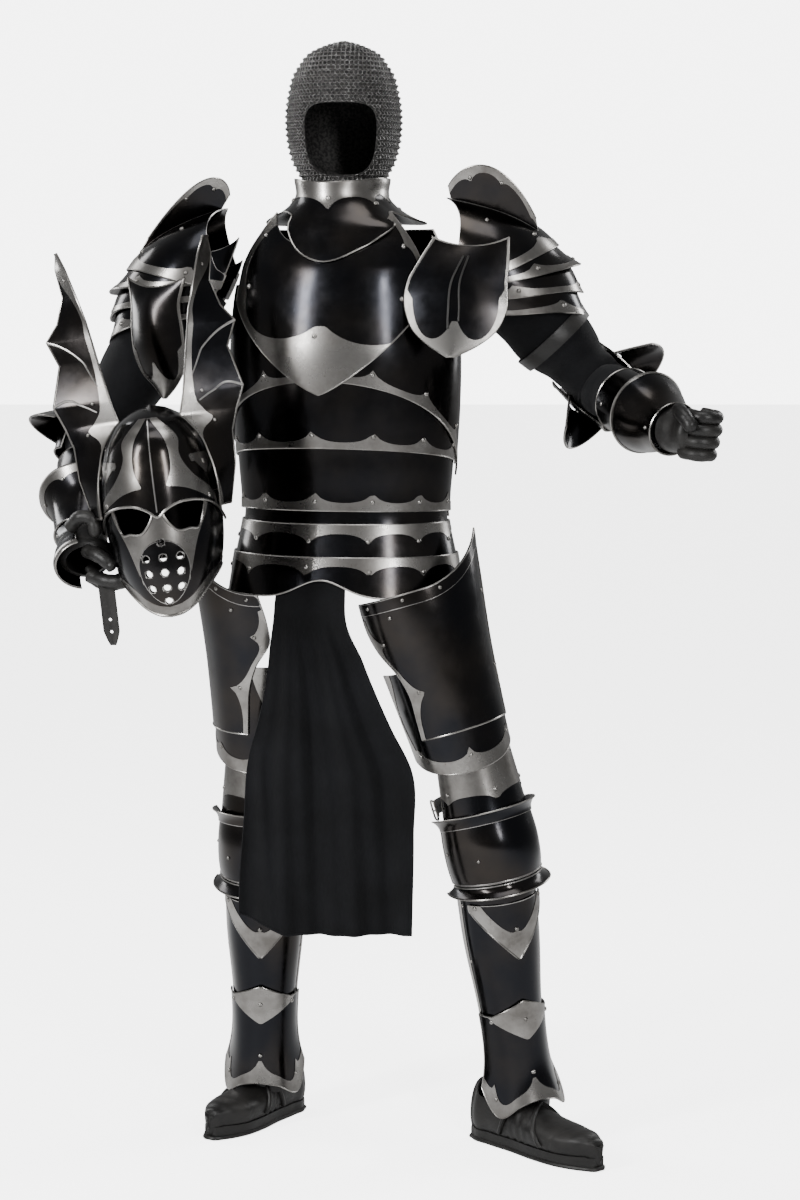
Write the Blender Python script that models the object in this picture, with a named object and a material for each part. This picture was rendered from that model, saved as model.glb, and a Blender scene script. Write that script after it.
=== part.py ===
"""A worn suit of plate armour with its mail coif, cloth and a winged helmet carried at the right hip.

Metres, +Z up. The origin is the middle of the neck between the shoulders, 1.50 m above the floor.
The suit faces -Y. "Left" is the wearer's left, at +X. Nothing stands in the wearer's place.
"""

import math

import bpy
import numpy as np

for old in list(bpy.data.objects):
    bpy.data.objects.remove(old, do_unlink=True)

FLOOR = -1.50
PLATE = 0.0020
CLOTH = 0.0020
MAIL = 0.0040
LEATHER = 0.0022
LAYER = 0.0030

FINISHES = {
    # slot: (red, green, blue, metallic, roughness)
    "black_steel": (0.020, 0.020, 0.022, 1.0, 0.22),
    "bright_steel": (0.55, 0.54, 0.53, 1.0, 0.32),
    "mail": (0.10, 0.10, 0.10, 1.0, 0.40),
    "leather_black": (0.020, 0.019, 0.018, 0.0, 0.50),
    "cloth_black": (0.012, 0.012, 0.015, 0.0, 0.90),
}


def vector(*values):
    return np.array(values, float)


def unit(direction):
    direction = np.asarray(direction, float)
    return direction / np.linalg.norm(direction)


def smooth(x, xs, ys):
    """A curve through the points (xs, ys) whose slope at each point is that of its neighbours' chord."""
    xs = np.asarray(xs, float)
    ys = np.asarray(ys, float)
    slopes = np.gradient(ys, xs)
    x = np.clip(x, xs[0], xs[-1])
    at = np.clip(np.searchsorted(xs, x) - 1, 0, len(xs) - 2)
    width = xs[at + 1] - xs[at]
    u = (x - xs[at]) / width
    start = (1 + 2 * u) * (1 - u) ** 2 * ys[at] + u * (1 - u) ** 2 * width * slopes[at]
    end = u**2 * (3 - 2 * u) * ys[at + 1] + u**2 * (u - 1) * width * slopes[at + 1]
    return start + end


class Limb:
    """A tube round a straight axis. Rows: distance down the axis, half width, depth in front, depth behind."""

    def __init__(self, start, axis, front, rows):
        self.start = vector(*start)
        self.axis = unit(axis)
        front = vector(*front)
        self.front = unit(front - self.axis * (front @ self.axis))
        self.side = np.cross(self.front, self.axis)
        self.rows = np.array(rows, float)

    def point(self, degrees, along, lift=0.0):
        """The point at this angle from the front towards the side and this far down, raised off the tube by lift."""
        degrees, along, lift = np.broadcast_arrays(degrees, along, lift)
        angle = np.radians(degrees)
        reach = [smooth(along, self.rows[:, 0], self.rows[:, column]) for column in (1, 2, 3)]
        depth = np.where(np.cos(angle) > 0, reach[1], reach[2]) + lift
        sideways = (reach[0] + lift) * np.sin(angle)
        forward = depth * np.cos(angle)
        return (
            self.start
            + along[..., None] * self.axis
            + sideways[..., None] * self.side
            + forward[..., None] * self.front
        )


def limb_between(top, bottom, front, rows):
    """A tube whose rows are given as parts of the way from top to bottom."""
    top = vector(*top)
    bottom = vector(*bottom)
    length = np.linalg.norm(bottom - top)
    return Limb(top, bottom - top, front, [(row[0] * length, *row[1:]) for row in rows])


def grid(surface, columns, rows, closed=False, mirrored=False):
    """Points and outward faces of surface(s, t), where s runs round a limb and t runs down it.

    A mirrored grid starts each face one corner on, so that it splits the other way.
    """
    s = np.linspace(0, 1, columns + 1)
    t = np.linspace(0, 1, rows + 1)
    s_grid, t_grid = np.meshgrid(s[:-1] if closed else s, t, indexing="ij")
    points = surface(s_grid, t_grid)
    wide = points.shape[0]
    faces = {}
    for i in range(columns):
        for j in range(rows):
            after = (i + 1) % wide
            here = i * (rows + 1) + j
            there = after * (rows + 1) + j
            face = (here, here + 1, there + 1, there)
            faces[i, j] = face[1:] + face[:1] if mirrored else face
    return points.reshape(-1, 3), faces


def solid(name, points, faces, thickness, slot):
    """A sheet of even thickness: the faces are its outer side, and each open edge gets a rim."""
    points = np.asarray(points, float)
    used = sorted({index for face in faces for index in face})
    renumber = {old: new for new, old in enumerate(used)}
    points = points[used]
    faces = [tuple(renumber[index] for index in face) for face in faces]
    normals = np.zeros_like(points)
    for face in faces:
        corner = points[list(face)]
        turned = np.roll(corner, -1, axis=0)
        normals[list(face)] += np.cross(corner, turned).sum(axis=0)
    normals /= np.linalg.norm(normals, axis=1)[:, None]
    count = len(points)
    both = np.vstack([points, points - thickness * normals])
    inner = [tuple(index + count for index in reversed(face)) for face in faces]
    edges = {(a, b) for face in faces for a, b in zip(face, face[1:] + face[:1])}
    rims = [(b, a, a + count, b + count) for a, b in sorted(edges) if (b, a) not in edges]
    mesh = bpy.data.meshes.new(name)
    mesh.from_pydata(both.tolist(), [], faces + inner + rims)
    mesh.validate()
    node = bpy.data.objects.new(name, mesh)
    bpy.context.scene.collection.objects.link(node)
    red, green, blue, metallic, roughness = FINISHES[slot]
    material = bpy.data.materials.new(name + "_" + slot)
    material.use_nodes = True
    shader = material.node_tree.nodes["Principled BSDF"]
    shader.inputs["Base Color"].default_value = (red, green, blue, 1)
    shader.inputs["Metallic"].default_value = metallic
    shader.inputs["Roughness"].default_value = roughness
    mesh.materials.append(material)
    return node


def plate(name, surface, columns, rows, closed=False, thickness=PLATE, slot="black_steel"):
    points, faces = grid(surface, columns, rows, closed, mirrored=name.endswith("_r"))
    return solid(name, points, list(faces.values()), thickness, slot)


def lame(limb, arc, top, bottom, lift):
    """The part of a limb's surface within an arc of angles, between two edges given as functions of the angle."""

    def surface(s, t):
        degrees = arc[0] + s * (arc[1] - arc[0])
        high = top(degrees)
        low = bottom(degrees)
        raised = lift(degrees, t) if callable(lift) else lift
        return limb.point(degrees, high + t * (low - high), raised)

    return surface


def level(height):
    return lambda degrees: np.full_like(degrees, height, dtype=float)


def bowed(middle, side, reach=90.0, power=2.0):
    """An edge at height middle in front that has moved to height side at the angle reach."""
    return lambda degrees: middle + (side - middle) * np.abs(degrees / reach) ** power


def through(angles, heights):
    return lambda degrees: smooth(degrees, angles, heights)


# The body of the suit. Heights down the torso are measured from the origin, and grow downward.
FORWARD = (-0.2756, -0.9613, 0.0)
TORSO = Limb(
    (0.010, 0.0, 0.0),
    (0, 0, -1),
    FORWARD,
    [
        # down, half width, depth in front, depth behind
        (-0.08, 0.115, 0.070, 0.085),
        (-0.02, 0.150, 0.100, 0.105),
        (0.06, 0.172, 0.128, 0.118),
        (0.15, 0.182, 0.138, 0.122),
        (0.25, 0.182, 0.134, 0.120),
        (0.35, 0.176, 0.125, 0.116),
        (0.44, 0.172, 0.120, 0.114),
        (0.50, 0.184, 0.130, 0.122),
        (0.58, 0.197, 0.144, 0.132),
    ],
)


def layer(number):
    return LAYER * number


FRONT = (-105.0, 105.0)
BACK = (105.25, 254.75)
ROUND = (0.0, 360.0)

plate("waist_band", lame(TORSO, ROUND, level(0.395), level(0.465), 0.0), 24, 2, closed=True)
plate("backplate", lame(TORSO, BACK, level(-0.03), level(0.440), layer(1)), 10, 6)
plate("belly_lower", lame(TORSO, FRONT, level(0.305), bowed(0.424, 0.428), layer(2)), 14, 3)
plate("belly_upper", lame(TORSO, FRONT, level(0.205), bowed(0.322, 0.345), layer(3)), 14, 3)
plate("chest_lame", lame(TORSO, FRONT, level(0.060), bowed(0.214, 0.330), layer(4)), 14, 4)

HEART_SIDE = 57.0


def heart(s, t):
    """The breastplate: a heart whose sides spread down to the armpits and close to a point below."""
    across = 2 * s - 1
    top = 0.0 - 0.058 * np.abs(across) ** 2.4
    low = 0.236 - 0.150 * np.abs(across) ** 1.25
    spread = 44.0 + (HEART_SIDE - 44.0) * np.sin(math.pi / 2 * np.clip(t * 1.6, 0, 1))
    down = top + t * (low - top)
    lift = layer(5.3) - 0.006 * np.clip((0.030 - down) / 0.05, 0, 1)
    return TORSO.point(across * spread, down, lift)


plate("breastplate", heart, 12, 5)

GORGET = Limb(
    (0.006, 0.0, 0.0),
    (0, 0, -1),
    FORWARD,
    [
        (-0.112, 0.078, 0.086, 0.080),
        (-0.080, 0.078, 0.088, 0.084),
        (-0.055, 0.108, 0.099, 0.102),
        (-0.035, 0.149, 0.109, 0.118),
        (-0.015, 0.159, 0.1173, 0.126),
        (0.020, 0.175, 0.1332, 0.138),
        (0.040, 0.181, 0.1402, 0.142),
    ],
)
plate(
    "gorget",
    lame(
        GORGET,
        (-180.0, 180.0),
        through(
            [-180, -120, -70, -30, 0, 30, 70, 120, 180],
            [-0.100, -0.110, -0.112, -0.107, -0.105, -0.107, -0.112, -0.110, -0.100],
        ),
        through(
            [-180, -90, -60, -42, -22, 0, 22, 42, 60, 90, 180],
            [-0.042, -0.044, -0.058, -0.057, -0.018, 0.022, -0.018, -0.057, -0.058, -0.044, -0.042],
        ),
        0.0,
    ),
    24,
    4,
    closed=True,
)

plate("fauld_upper", lame(TORSO, ROUND, level(0.447), level(0.515), layer(1)), 24, 2, closed=True)


def fauld_arch(degrees):
    """The lower edge: an arch in front over the cloth, level behind."""
    turned = (degrees + 180) % 360 - 180
    return 0.566 - 0.030 * np.exp(-((turned / 16.0) ** 2))


plate("fauld_lower", lame(TORSO, ROUND, level(0.500), fauld_arch, layer(2)), 24, 2, closed=True)

# The mail coif: a hood that ends inside the gorget, with an oval opening for the face.
COIF = Limb(
    (0.008, 0.004, 0.332),
    (0, 0, -1),
    (-0.05, -1.0, 0.0),
    [
        (0.000, 0.014, 0.016, 0.016),
        (0.010, 0.042, 0.048, 0.046),
        (0.040, 0.074, 0.088, 0.080),
        (0.085, 0.090, 0.104, 0.098),
        (0.130, 0.094, 0.104, 0.104),
        (0.190, 0.084, 0.092, 0.094),
        (0.225, 0.068, 0.074, 0.072),
        (0.268, 0.076, 0.083, 0.080),
    ],
)
COIF_DOWN = (0.0, 0.014, 0.035, 0.065, 0.100, 0.118, 0.150, 0.185, 0.215, 0.235, 0.268)
FACE_ROWS = (4, 8)


def coif_surface(s, t):
    down = np.interp(t, np.linspace(0, 1, len(COIF_DOWN)), COIF_DOWN)
    degrees = 360 * s
    return COIF.point(degrees, down)


def build_coif():
    columns = 18
    rows = len(COIF_DOWN) - 1
    points, faces = grid(coif_surface, columns, rows, closed=True)
    open_columns = {0, 1, columns - 1, columns - 2}
    kept = [
        face
        for (i, j), face in faces.items()
        if not (i in open_columns and FACE_ROWS[0] <= j < FACE_ROWS[1])
    ]
    crown = tuple(i * (rows + 1) for i in range(columns))
    solid("coif", points, kept + [crown], MAIL, "mail")


build_coif()


# The legs. Each chain runs tasset, cuisse, knee lame, poleyn, flange, greave with its shin shield, instep, shoe.
THIGH_ROWS = [
    # part of the way down, half width, depth in front, depth behind
    (-0.20, 0.094, 0.100, 0.090),
    (0.00, 0.094, 0.104, 0.090),
    (0.30, 0.084, 0.094, 0.084),
    (0.60, 0.074, 0.080, 0.076),
    (0.85, 0.068, 0.072, 0.068),
    (1.10, 0.066, 0.070, 0.064),
]
KNEE_ROWS = [
    # down from the middle of the knee
    (-0.18, 0.060, 0.060, 0.060),
    (-0.12, 0.065, 0.067, 0.064),
    (-0.06, 0.070, 0.076, 0.064),
    (-0.02, 0.073, 0.084, 0.062),
    (0.02, 0.072, 0.080, 0.060),
    (0.06, 0.066, 0.068, 0.060),
    (0.10, 0.064, 0.066, 0.062),
]
SHIN_ROWS = [
    (-0.05, 0.0706, 0.0716, 0.0711),
    (0.10, 0.0670, 0.0670, 0.072),
    (0.35, 0.064, 0.062, 0.072),
    (0.65, 0.053, 0.056, 0.056),
    (0.85, 0.050, 0.056, 0.050),
    (1.10, 0.056, 0.066, 0.056),
]
CALF_EXTRA = {"l": 0.0, "r": 0.0022}
SHOE_ROWS = [
    # part of the way from heel to toe, half width, height above the middle, height below it
    (0.00, 0.016, 0.036, 0.030),
    (0.05, 0.030, 0.060, 0.040),
    (0.20, 0.036, 0.074, 0.042),
    (0.40, 0.038, 0.046, 0.042),
    (0.60, 0.044, 0.026, 0.042),
    (0.80, 0.040, 0.018, 0.042),
    (0.94, 0.022, 0.012, 0.038),
    (1.00, 0.008, -0.006, 0.034),
]
SHOE_MIDDLE = 0.044


class Leg:
    """The places of one leg: hip, knee, ankle, heel and toe, and the way the knee faces."""

    def __init__(self, side, hip, thigh_end, knee, ankle, heel, toe, thigh_front, shin_front):
        self.side = side
        self.sign = 1 if side == "l" else -1
        self.tasset_arc = (-75, 75) if side == "l" else (-110, 4)
        self.cuisse_arc = (-90, 90) if side == "l" else (-125, 18)
        self.thigh = limb_between(hip, thigh_end, thigh_front, THIGH_ROWS)
        middle = unit(vector(*ankle) - vector(*hip))
        self.knee = Limb(knee, middle, shin_front, KNEE_ROWS)
        top_row, *other_rows = SHIN_ROWS
        fuller = (top_row[0], *(reach + CALF_EXTRA[side] for reach in top_row[1:]))
        self.shin = limb_between(knee, ankle, shin_front, [fuller, *other_rows])
        self.foot = limb_between(
            (heel[0], heel[1], FLOOR + SHOE_MIDDLE),
            (toe[0], toe[1], FLOOR + SHOE_MIDDLE),
            (0, 0, 1),
            SHOE_ROWS,
        )
        self.shin_length = np.linalg.norm(vector(*ankle) - vector(*knee))
        self.foot_length = np.linalg.norm(vector(*toe[:2]) - vector(*heel[:2]))


TASSET_DOWN = (0.0, 0.22, 0.34, 0.50, 0.68, 0.86, 1.0)
TASSET_INNER = {
    # how many degrees the inner edge is cut back at each part of the way down
    "l": (0.0, -3.0, 4.0, 20.0, 28.0, 26.0, 24.0),
    "r": (0.0, -9.0, -11.0, 2.0, 10.0, 12.0, 13.0),
}


def tasset_surface(leg):
    """The thigh's outer plate. Its top rises to a point at the hip, and its inner edge is cut to two points."""
    sign = leg.sign
    outer, inner = leg.tasset_arc if sign < 0 else leg.tasset_arc[::-1]

    def surface(s, t):
        part = s if sign > 0 else 1 - s
        cut_back = smooth(t, TASSET_DOWN, TASSET_INNER[leg.side])
        edge = inner + sign * cut_back
        degrees = edge + part * (outer - edge)
        turned = np.clip(sign * degrees / 80.0, 0, 1)
        high = -0.004 - 0.076 * turned**2
        raised = layer(3) + 0.022 * turned**2 * (1 - t) ** 3
        return leg.thigh.point(degrees, high + t * (0.236 - high), raised)

    return surface


def build_leg(leg):
    side = leg.side
    plate(f"tasset_{side}", tasset_surface(leg), 10, 6)
    plate(f"cuisse_{side}", lame(leg.thigh, leg.cuisse_arc, level(0.120), bowed(0.305, 0.270), layer(2)), 12, 3)
    plate(f"knee_lame_{side}", lame(leg.knee, (-90, 90), level(-0.165), level(-0.062), layer(1)), 12, 2)
    plate(f"poleyn_{side}", lame(leg.knee, (-105, 105), bowed(-0.076, -0.066), level(0.040), layer(2)), 14, 5)

    def flange_lift(degrees, t):
        return layer(0.8) + 0.018 * np.clip((t - 0.5) / 0.5, 0, 1) ** 2

    flange = lame(leg.knee, (-105, 105), level(0.022), bowed(0.062, 0.056), flange_lift)
    plate(f"poleyn_flange_{side}", flange, 14, 3)
    low = leg.shin_length
    instep_top = through([-90, -45, 0, 45, 90], [low - 0.150, low - 0.150, low - 0.170, low - 0.150, low - 0.150])
    instep_points = through(
        [-90, -60, -25, 0, 25, 60, 90],
        [low - 0.020, low + 0.022, low - 0.002, low + 0.012, low - 0.002, low + 0.022, low - 0.020],
    )
    plate(
        f"greave_{side}",
        lame(leg.shin, ROUND, level(0.028), level(low - 0.015), 0.0),
        16,
        3,
        closed=True,
    )
    plate(
        f"shin_shield_{side}",
        lame(leg.shin, (-67.5, 67.5), level(0.075), bowed(0.175, 0.085, 67.5, 1.0), layer(1.1)),
        6,
        2,
    )
    plate(
        f"instep_{side}",
        lame(
            leg.shin,
            (-90, 90),
            instep_top,
            instep_points,
            lambda degrees, t: layer(1.5) + 0.012 * t**3,
        ),
        8,
        3,
    )
    length = leg.foot_length
    stations = np.array([0.0, 0.05, 0.16, 0.28, 0.40, 0.55, 0.70, 0.84, 0.94, 1.0]) * length

    def shoe(s, t):
        along = np.interp(t, np.linspace(0, 1, len(stations)), stations)
        degrees = 360 * s
        point = leg.foot.point(degrees, along)
        point[..., 2] = np.maximum(point[..., 2], FLOOR)
        return point

    columns = 12
    rows = len(stations) - 1
    points, faces = grid(shoe, columns, rows, closed=True)
    ankle_columns = {0, 1, columns - 1, columns - 2}
    kept = [face for (i, j), face in faces.items() if not (i in ankle_columns and 1 <= j < 4)]
    heel_cap = tuple(i * (rows + 1) for i in range(columns))
    toe_cap = tuple(i * (rows + 1) + rows for i in reversed(range(columns)))
    solid(f"shoe_{side}", points, kept + [heel_cap, toe_cap], LEATHER, "leather_black")


LEFT_LEG = Leg(
    "l",
    hip=(0.125, -0.0545, -0.560),
    thigh_end=(0.255, -0.0755, -0.992),
    knee=(0.252, -0.070, -0.992),
    ankle=(0.302, -0.030, -1.4082),
    heel=(0.235, 0.015),
    toe=(0.426, -0.200),
    thigh_front=(0.15, -1.0, 0.0),
    shin_front=(0.38, -0.92, 0.0),
)
RIGHT_LEG = Leg(
    "r",
    hip=(-0.130, 0.0287, -0.560),
    thigh_end=(-0.130, 0.0693, -1.015),
    knee=(-0.130, 0.058, -1.015),
    ankle=(-0.134, 0.120, -1.4105),
    heel=(-0.085, 0.190),
    toe=(-0.222, -0.020),
    thigh_front=(-0.10, -1.0, 0.0),
    shin_front=(-0.08, -1.0, 0.0),
)
build_leg(LEFT_LEG)
build_leg(RIGHT_LEG)


# The shoulders and arms. Angles round an arm are counted from the front over the top to the back.
PAULDRON_ROWS = [
    # down from the shoulder, half width, depth in front, depth behind
    (-0.095, 0.022, 0.034, 0.034),
    (-0.055, 0.052, 0.066, 0.062),
    (0.00, 0.086, 0.098, 0.084),
    (0.058, 0.106, 0.110, 0.094),
    (0.10, 0.108, 0.108, 0.094),
    (0.143, 0.104, 0.101, 0.090),
    (0.18, 0.087, 0.087, 0.083),
    (0.22, 0.071, 0.072, 0.072),
]
LAMES = {
    # lame: (reach down the arm at the top, how far it is cut back in front and behind, width, layers in, flare)
    "arm_lame_1": (0.143, 0.075, 0.066, -1.3, 0.013),
    "arm_lame_2": (0.180, 0.078, 0.066, -2.75, 0.006),
    "arm_lame_3": (0.214, 0.076, 0.066, -4.15, 0.002),
}
HAUTE_HIGH = {"l": 0.074, "r": 0.088}
HAUTE_LEAN = {"l": -0.20, "r": 0.60}
SLEEVE_FULL = {"l": 0.0668, "r": 0.0648}
SLEEVE_END = {"l": 0.0324, "r": 0.0330}
FOREARM_ROWS = [
    (0.00, 0.050, 0.050, 0.050),
    (0.25, 0.050, 0.050, 0.050),
    (0.50, 0.049, 0.050, 0.049),
    (0.75, 0.043, 0.045, 0.043),
    (1.00, 0.038, 0.040, 0.038),
    (1.30, 0.036, 0.038, 0.036),
]
CUFF_FLARE = {"l": 1.0, "r": 1.28}
CUFF_ROWS = [
    (0.60, 0.066, 0.070, 0.066),
    (0.75, 0.056, 0.058, 0.056),
    (0.90, 0.0435, 0.0455, 0.0435),
    (1.00, 0.040, 0.041, 0.040),
    (1.10, 0.040, 0.041, 0.040),
]
COUTER_ROWS = [
    (-0.085, 0.0495, 0.038, 0.05),
    (-0.045, 0.0537, 0.051, 0.05),
    (0.00, 0.0570, 0.0628, 0.05),
    (0.045, 0.0534, 0.048, 0.05),
    (0.085, 0.048, 0.036, 0.05),
]
HAND_ROWS = [
    (0.00, 0.038, 0.038, 0.038),
    (0.25, 0.037, 0.037, 0.037),
    (0.55, 0.045, 0.039, 0.039),
    (0.80, 0.045, 0.039, 0.039),
    (0.95, 0.034, 0.030, 0.030),
    (1.00, 0.018, 0.016, 0.016),
]


class Arm:
    """The places of one arm: shoulder, elbow, wrist and the end of the hand."""

    def __init__(self, side, shoulder, elbow, wrist, hand, front):
        self.side = side
        self.sign = 1 if side == "l" else -1
        self.upper = limb_between(shoulder, elbow, front, [(0, 0.05, 0.05, 0.05), (1, 0.05, 0.05, 0.05)])
        self.cap = Limb(shoulder, self.upper.axis, front, PAULDRON_ROWS)
        self.fore = limb_between(elbow, wrist, (0, 0, 1), FOREARM_ROWS)
        rim, *rest = CUFF_ROWS
        wide_rim = (rim[0], *(reach * CUFF_FLARE[side] for reach in rim[1:]))
        self.cuff = limb_between(elbow, wrist, (0, 0, 1), [wide_rim, *rest])
        self.palm = limb_between(wrist, hand, (0, 0, 1), HAND_ROWS)
        self.upper_length = np.linalg.norm(vector(*elbow) - vector(*shoulder))
        self.fore_length = np.linalg.norm(vector(*wrist) - vector(*elbow))
        self.hand_length = np.linalg.norm(vector(*hand) - vector(*wrist))
        outside = self.upper.axis - self.fore.axis
        self.couter = Limb(elbow, self.upper.axis + self.fore.axis, outside, COUTER_ROWS)
        self.over = (-40.0, 200.0) if side == "l" else (-200.0, 40.0)

    def from_top(self, degrees):
        """How far round from the top of the arm, where 1 is the front or the back."""
        return np.abs(degrees - 90.0 * self.sign) / 90.0


def sleeve_surface(arm):
    """A tube down the upper arm that turns at the elbow and runs on to the wrist."""
    start = arm.upper.start + 0.045 * arm.upper.axis
    elbow = arm.fore.start
    end = elbow + 0.97 * arm.fore_length * arm.fore.axis
    knots = [
        start,
        start + 0.5 * (elbow - start),
        elbow - 0.045 * arm.upper.axis,
        elbow,
        elbow + 0.045 * arm.fore.axis,
        elbow + 0.5 * (end - elbow),
        end,
    ]
    radii = [0.060, SLEEVE_FULL[arm.side], 0.049, 0.048, 0.046, 0.041, SLEEVE_END[arm.side]]
    path = np.array(knots)
    along = np.linspace(0, 1, len(knots))

    def surface(s, t):
        centre = np.stack([smooth(t, along, path[:, axis]) for axis in range(3)], axis=-1)
        ahead = np.stack([smooth(np.minimum(t + 0.01, 1), along, path[:, axis]) for axis in range(3)], axis=-1)
        behind = np.stack([smooth(np.maximum(t - 0.01, 0), along, path[:, axis]) for axis in range(3)], axis=-1)
        tangent = ahead - behind
        tangent /= np.linalg.norm(tangent, axis=-1)[..., None]
        bend = unit(np.cross(arm.upper.axis, arm.fore.axis))
        across = np.cross(tangent, bend)
        across /= np.linalg.norm(across, axis=-1)[..., None]
        binormal = np.cross(across, tangent)
        radius = smooth(t, along, np.array(radii))[..., None]
        angle = 2 * math.pi * s[..., None]
        return centre + radius * (np.cos(angle) * across + np.sin(angle) * binormal)

    return surface


def build_arm(arm):
    side = arm.side
    sign = arm.sign

    def pauldron_top(degrees):
        return -0.086 + 0.060 * np.clip(arm.from_top(degrees), 0, 1.3) ** 1.5

    def pauldron_low(degrees):
        return 0.096 - 0.040 * arm.from_top(degrees) ** 1.5

    plate(f"pauldron_{side}", lame(arm.cap, arm.over, pauldron_top, pauldron_low, 0.0), 12, 5)
    for name, (reach, cut, width, number, flare) in LAMES.items():

        def low(degrees, reach=reach, cut=cut):
            return reach - cut * arm.from_top(degrees) ** 1.6

        def high(degrees, low=low, width=width):
            return low(degrees) - width

        def lift(degrees, t, number=number, flare=flare):
            return layer(number) + flare * t**3 * np.clip(1 - arm.from_top(degrees), 0, 1)

        plate(f"{name}_{side}", lame(arm.cap, arm.over, high, low, lift), 12, 2)

    def haute(s, t):
        part = s if sign > 0 else 1 - s
        base = arm.cap.point(sign * 72.0, -0.080 + 0.135 * part, -0.0001)
        height = HAUTE_HIGH[side] * np.sin(math.pi * np.clip(0.04 + 0.92 * part, 0, 1)) ** 0.6
        rise = ((1 - t) * height)[..., None]
        return base + rise * unit(vector(HAUTE_LEAN[side], -0.25, 1.0))

    plate(f"haute_{side}", haute, 9, 2)

    plate(f"sleeve_{side}", sleeve_surface(arm), 10, 8, closed=True, thickness=CLOTH, slot="cloth_black")
    plate(f"couter_{side}", lame(arm.couter, (-105, 105), level(-0.060), level(0.060), 0.0), 14, 4)

    def wing_lift(degrees, t):
        spread = np.sin(np.radians(np.clip(np.abs(degrees), 0, 90))) ** 3
        return layer(1.2) + 0.055 * spread * t

    plate(
        f"couter_wing_{side}",
        lame(arm.couter, (-120, 120), level(-0.012), bowed(0.030, 0.034), wing_lift),
        16,
        2,
    )
    length = arm.fore_length
    plate(
        f"vambrace_{side}",
        lame(arm.fore, ROUND, level(0.36 * length), level(0.90 * length), layer(1.25)),
        16,
        3,
        closed=True,
    )
    plate(
        f"gauntlet_cuff_{side}",
        lame(arm.cuff, ROUND, level(0.66 * length), level(1.02 * length), layer(1)),
        16,
        3,
        closed=True,
    )
    points, faces = grid(lame(arm.palm, ROUND, level(0.0), level(arm.hand_length), 0.0), 10, 6, closed=True)
    cap = tuple(i * 7 + 6 for i in reversed(range(10)))
    solid(f"glove_{side}", points, list(faces.values()) + [cap], LEATHER, "leather_black")


LEFT_ARM = Arm(
    "l",
    shoulder=(0.215, -0.030, 0.000),
    elbow=(0.430, -0.020, -0.225),
    wrist=(0.529, -0.240, -0.285),
    hand=(0.602, -0.330, -0.297),
    front=(-0.10, -1.0, 0.0),
)
RIGHT_ARM = Arm(
    "r",
    shoulder=(-0.212, 0.045, -0.020),
    elbow=(-0.410, 0.050, -0.306),
    wrist=(-0.415, -0.150, -0.462),
    hand=(-0.392, -0.240, -0.512),
    front=(-0.30, -1.0, 0.0),
)
build_arm(LEFT_ARM)
build_arm(RIGHT_ARM)

# The besagews: shields hung in front of the armpits. Rows: drop from the top, left edge, right edge, as seen in front.
BESAGEWS = {
    "l": (
        (0.188, -0.1177, 0.016),
        (-0.10, -1.0, 0.335),
        [
            (0.000, -0.034, 0.088),
            (0.038, -0.056, 0.088),
            (0.075, -0.074, 0.086),
            (0.130, -0.074, 0.084),
            (0.162, -0.058, 0.066),
            (0.186, -0.030, 0.034),
            (0.200, -0.008, 0.006),
        ],
        0.014,
    ),
    "r": (
        (-0.2917, -0.0582, -0.048),
        (-0.55, -0.83, 0.05),
        [
            (0.000, -0.066, 0.052),
            (0.040, -0.058, 0.042),
            (0.085, -0.056, 0.050),
            (0.130, -0.046, 0.056),
            (0.160, -0.026, 0.050),
            (0.180, -0.002, 0.036),
            (0.196, 0.012, 0.020),
        ],
        0.024,
    ),
}


def build_besagew(side):
    place, facing, rows, bulge = BESAGEWS[side]
    out = unit(facing)
    right = unit(np.cross(vector(0, 0, -1), out)) * -1.0
    up = np.cross(right, out) * -1.0
    table = np.array(rows)

    def surface(s, t):
        drop = t * table[-1, 0]
        left_edge = smooth(drop, table[:, 0], table[:, 1])
        right_edge = smooth(drop, table[:, 0], table[:, 2])
        across = left_edge + s * (right_edge - left_edge)
        dip = 0.016 * (1 - (2 * s - 1) ** 2) * (1 - t) ** 3
        ridge = bulge * (1 - np.abs(2 * s - 1) ** 1.6) * np.sin(math.pi * np.clip(0.12 + 0.85 * t, 0, 1))
        return (
            vector(*place)
            + across[..., None] * right
            - (drop + dip)[..., None] * up
            + ridge[..., None] * out
        )

    plate(f"besagew_{side}", surface, 6, 5)


build_besagew("l")
build_besagew("r")


# The helmet carried in front of the right hip. Its top leans towards the wearer's right.
HELMET = Limb(
    (-0.2959, -0.222, -0.251),
    (0.122, 0.0, -0.9925),
    (0, -1, 0),
    [
        (0.000, 0.014, 0.020, 0.018),
        (0.012, 0.040, 0.058, 0.052),
        (0.040, 0.068, 0.090, 0.084),
        (0.090, 0.087, 0.110, 0.104),
        (0.160, 0.093, 0.116, 0.110),
        (0.220, 0.090, 0.118, 0.104),
        (0.270, 0.078, 0.114, 0.092),
        (0.325, 0.054, 0.094, 0.070),
    ],
)
SKULL_DOWN = (0.0, 0.016, 0.045, 0.090, 0.140, 0.195, 0.250)
SKULL_FRONT_ROWS = 4
FACE_ACROSS = (-89.5, -66.0, -50.0, -28.0, -20.0, -13.5, -7.5, -2.5, 2.5, 7.5, 13.5, 20.0, 28.0, 50.0, 66.0, 89.5)
FACE_DOWN = (0.1405, 0.157, 0.181, 0.206, 0.215, 0.224, 0.233, 0.242, 0.251, 0.260, 0.269, 0.278, 0.287, 0.305)


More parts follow.
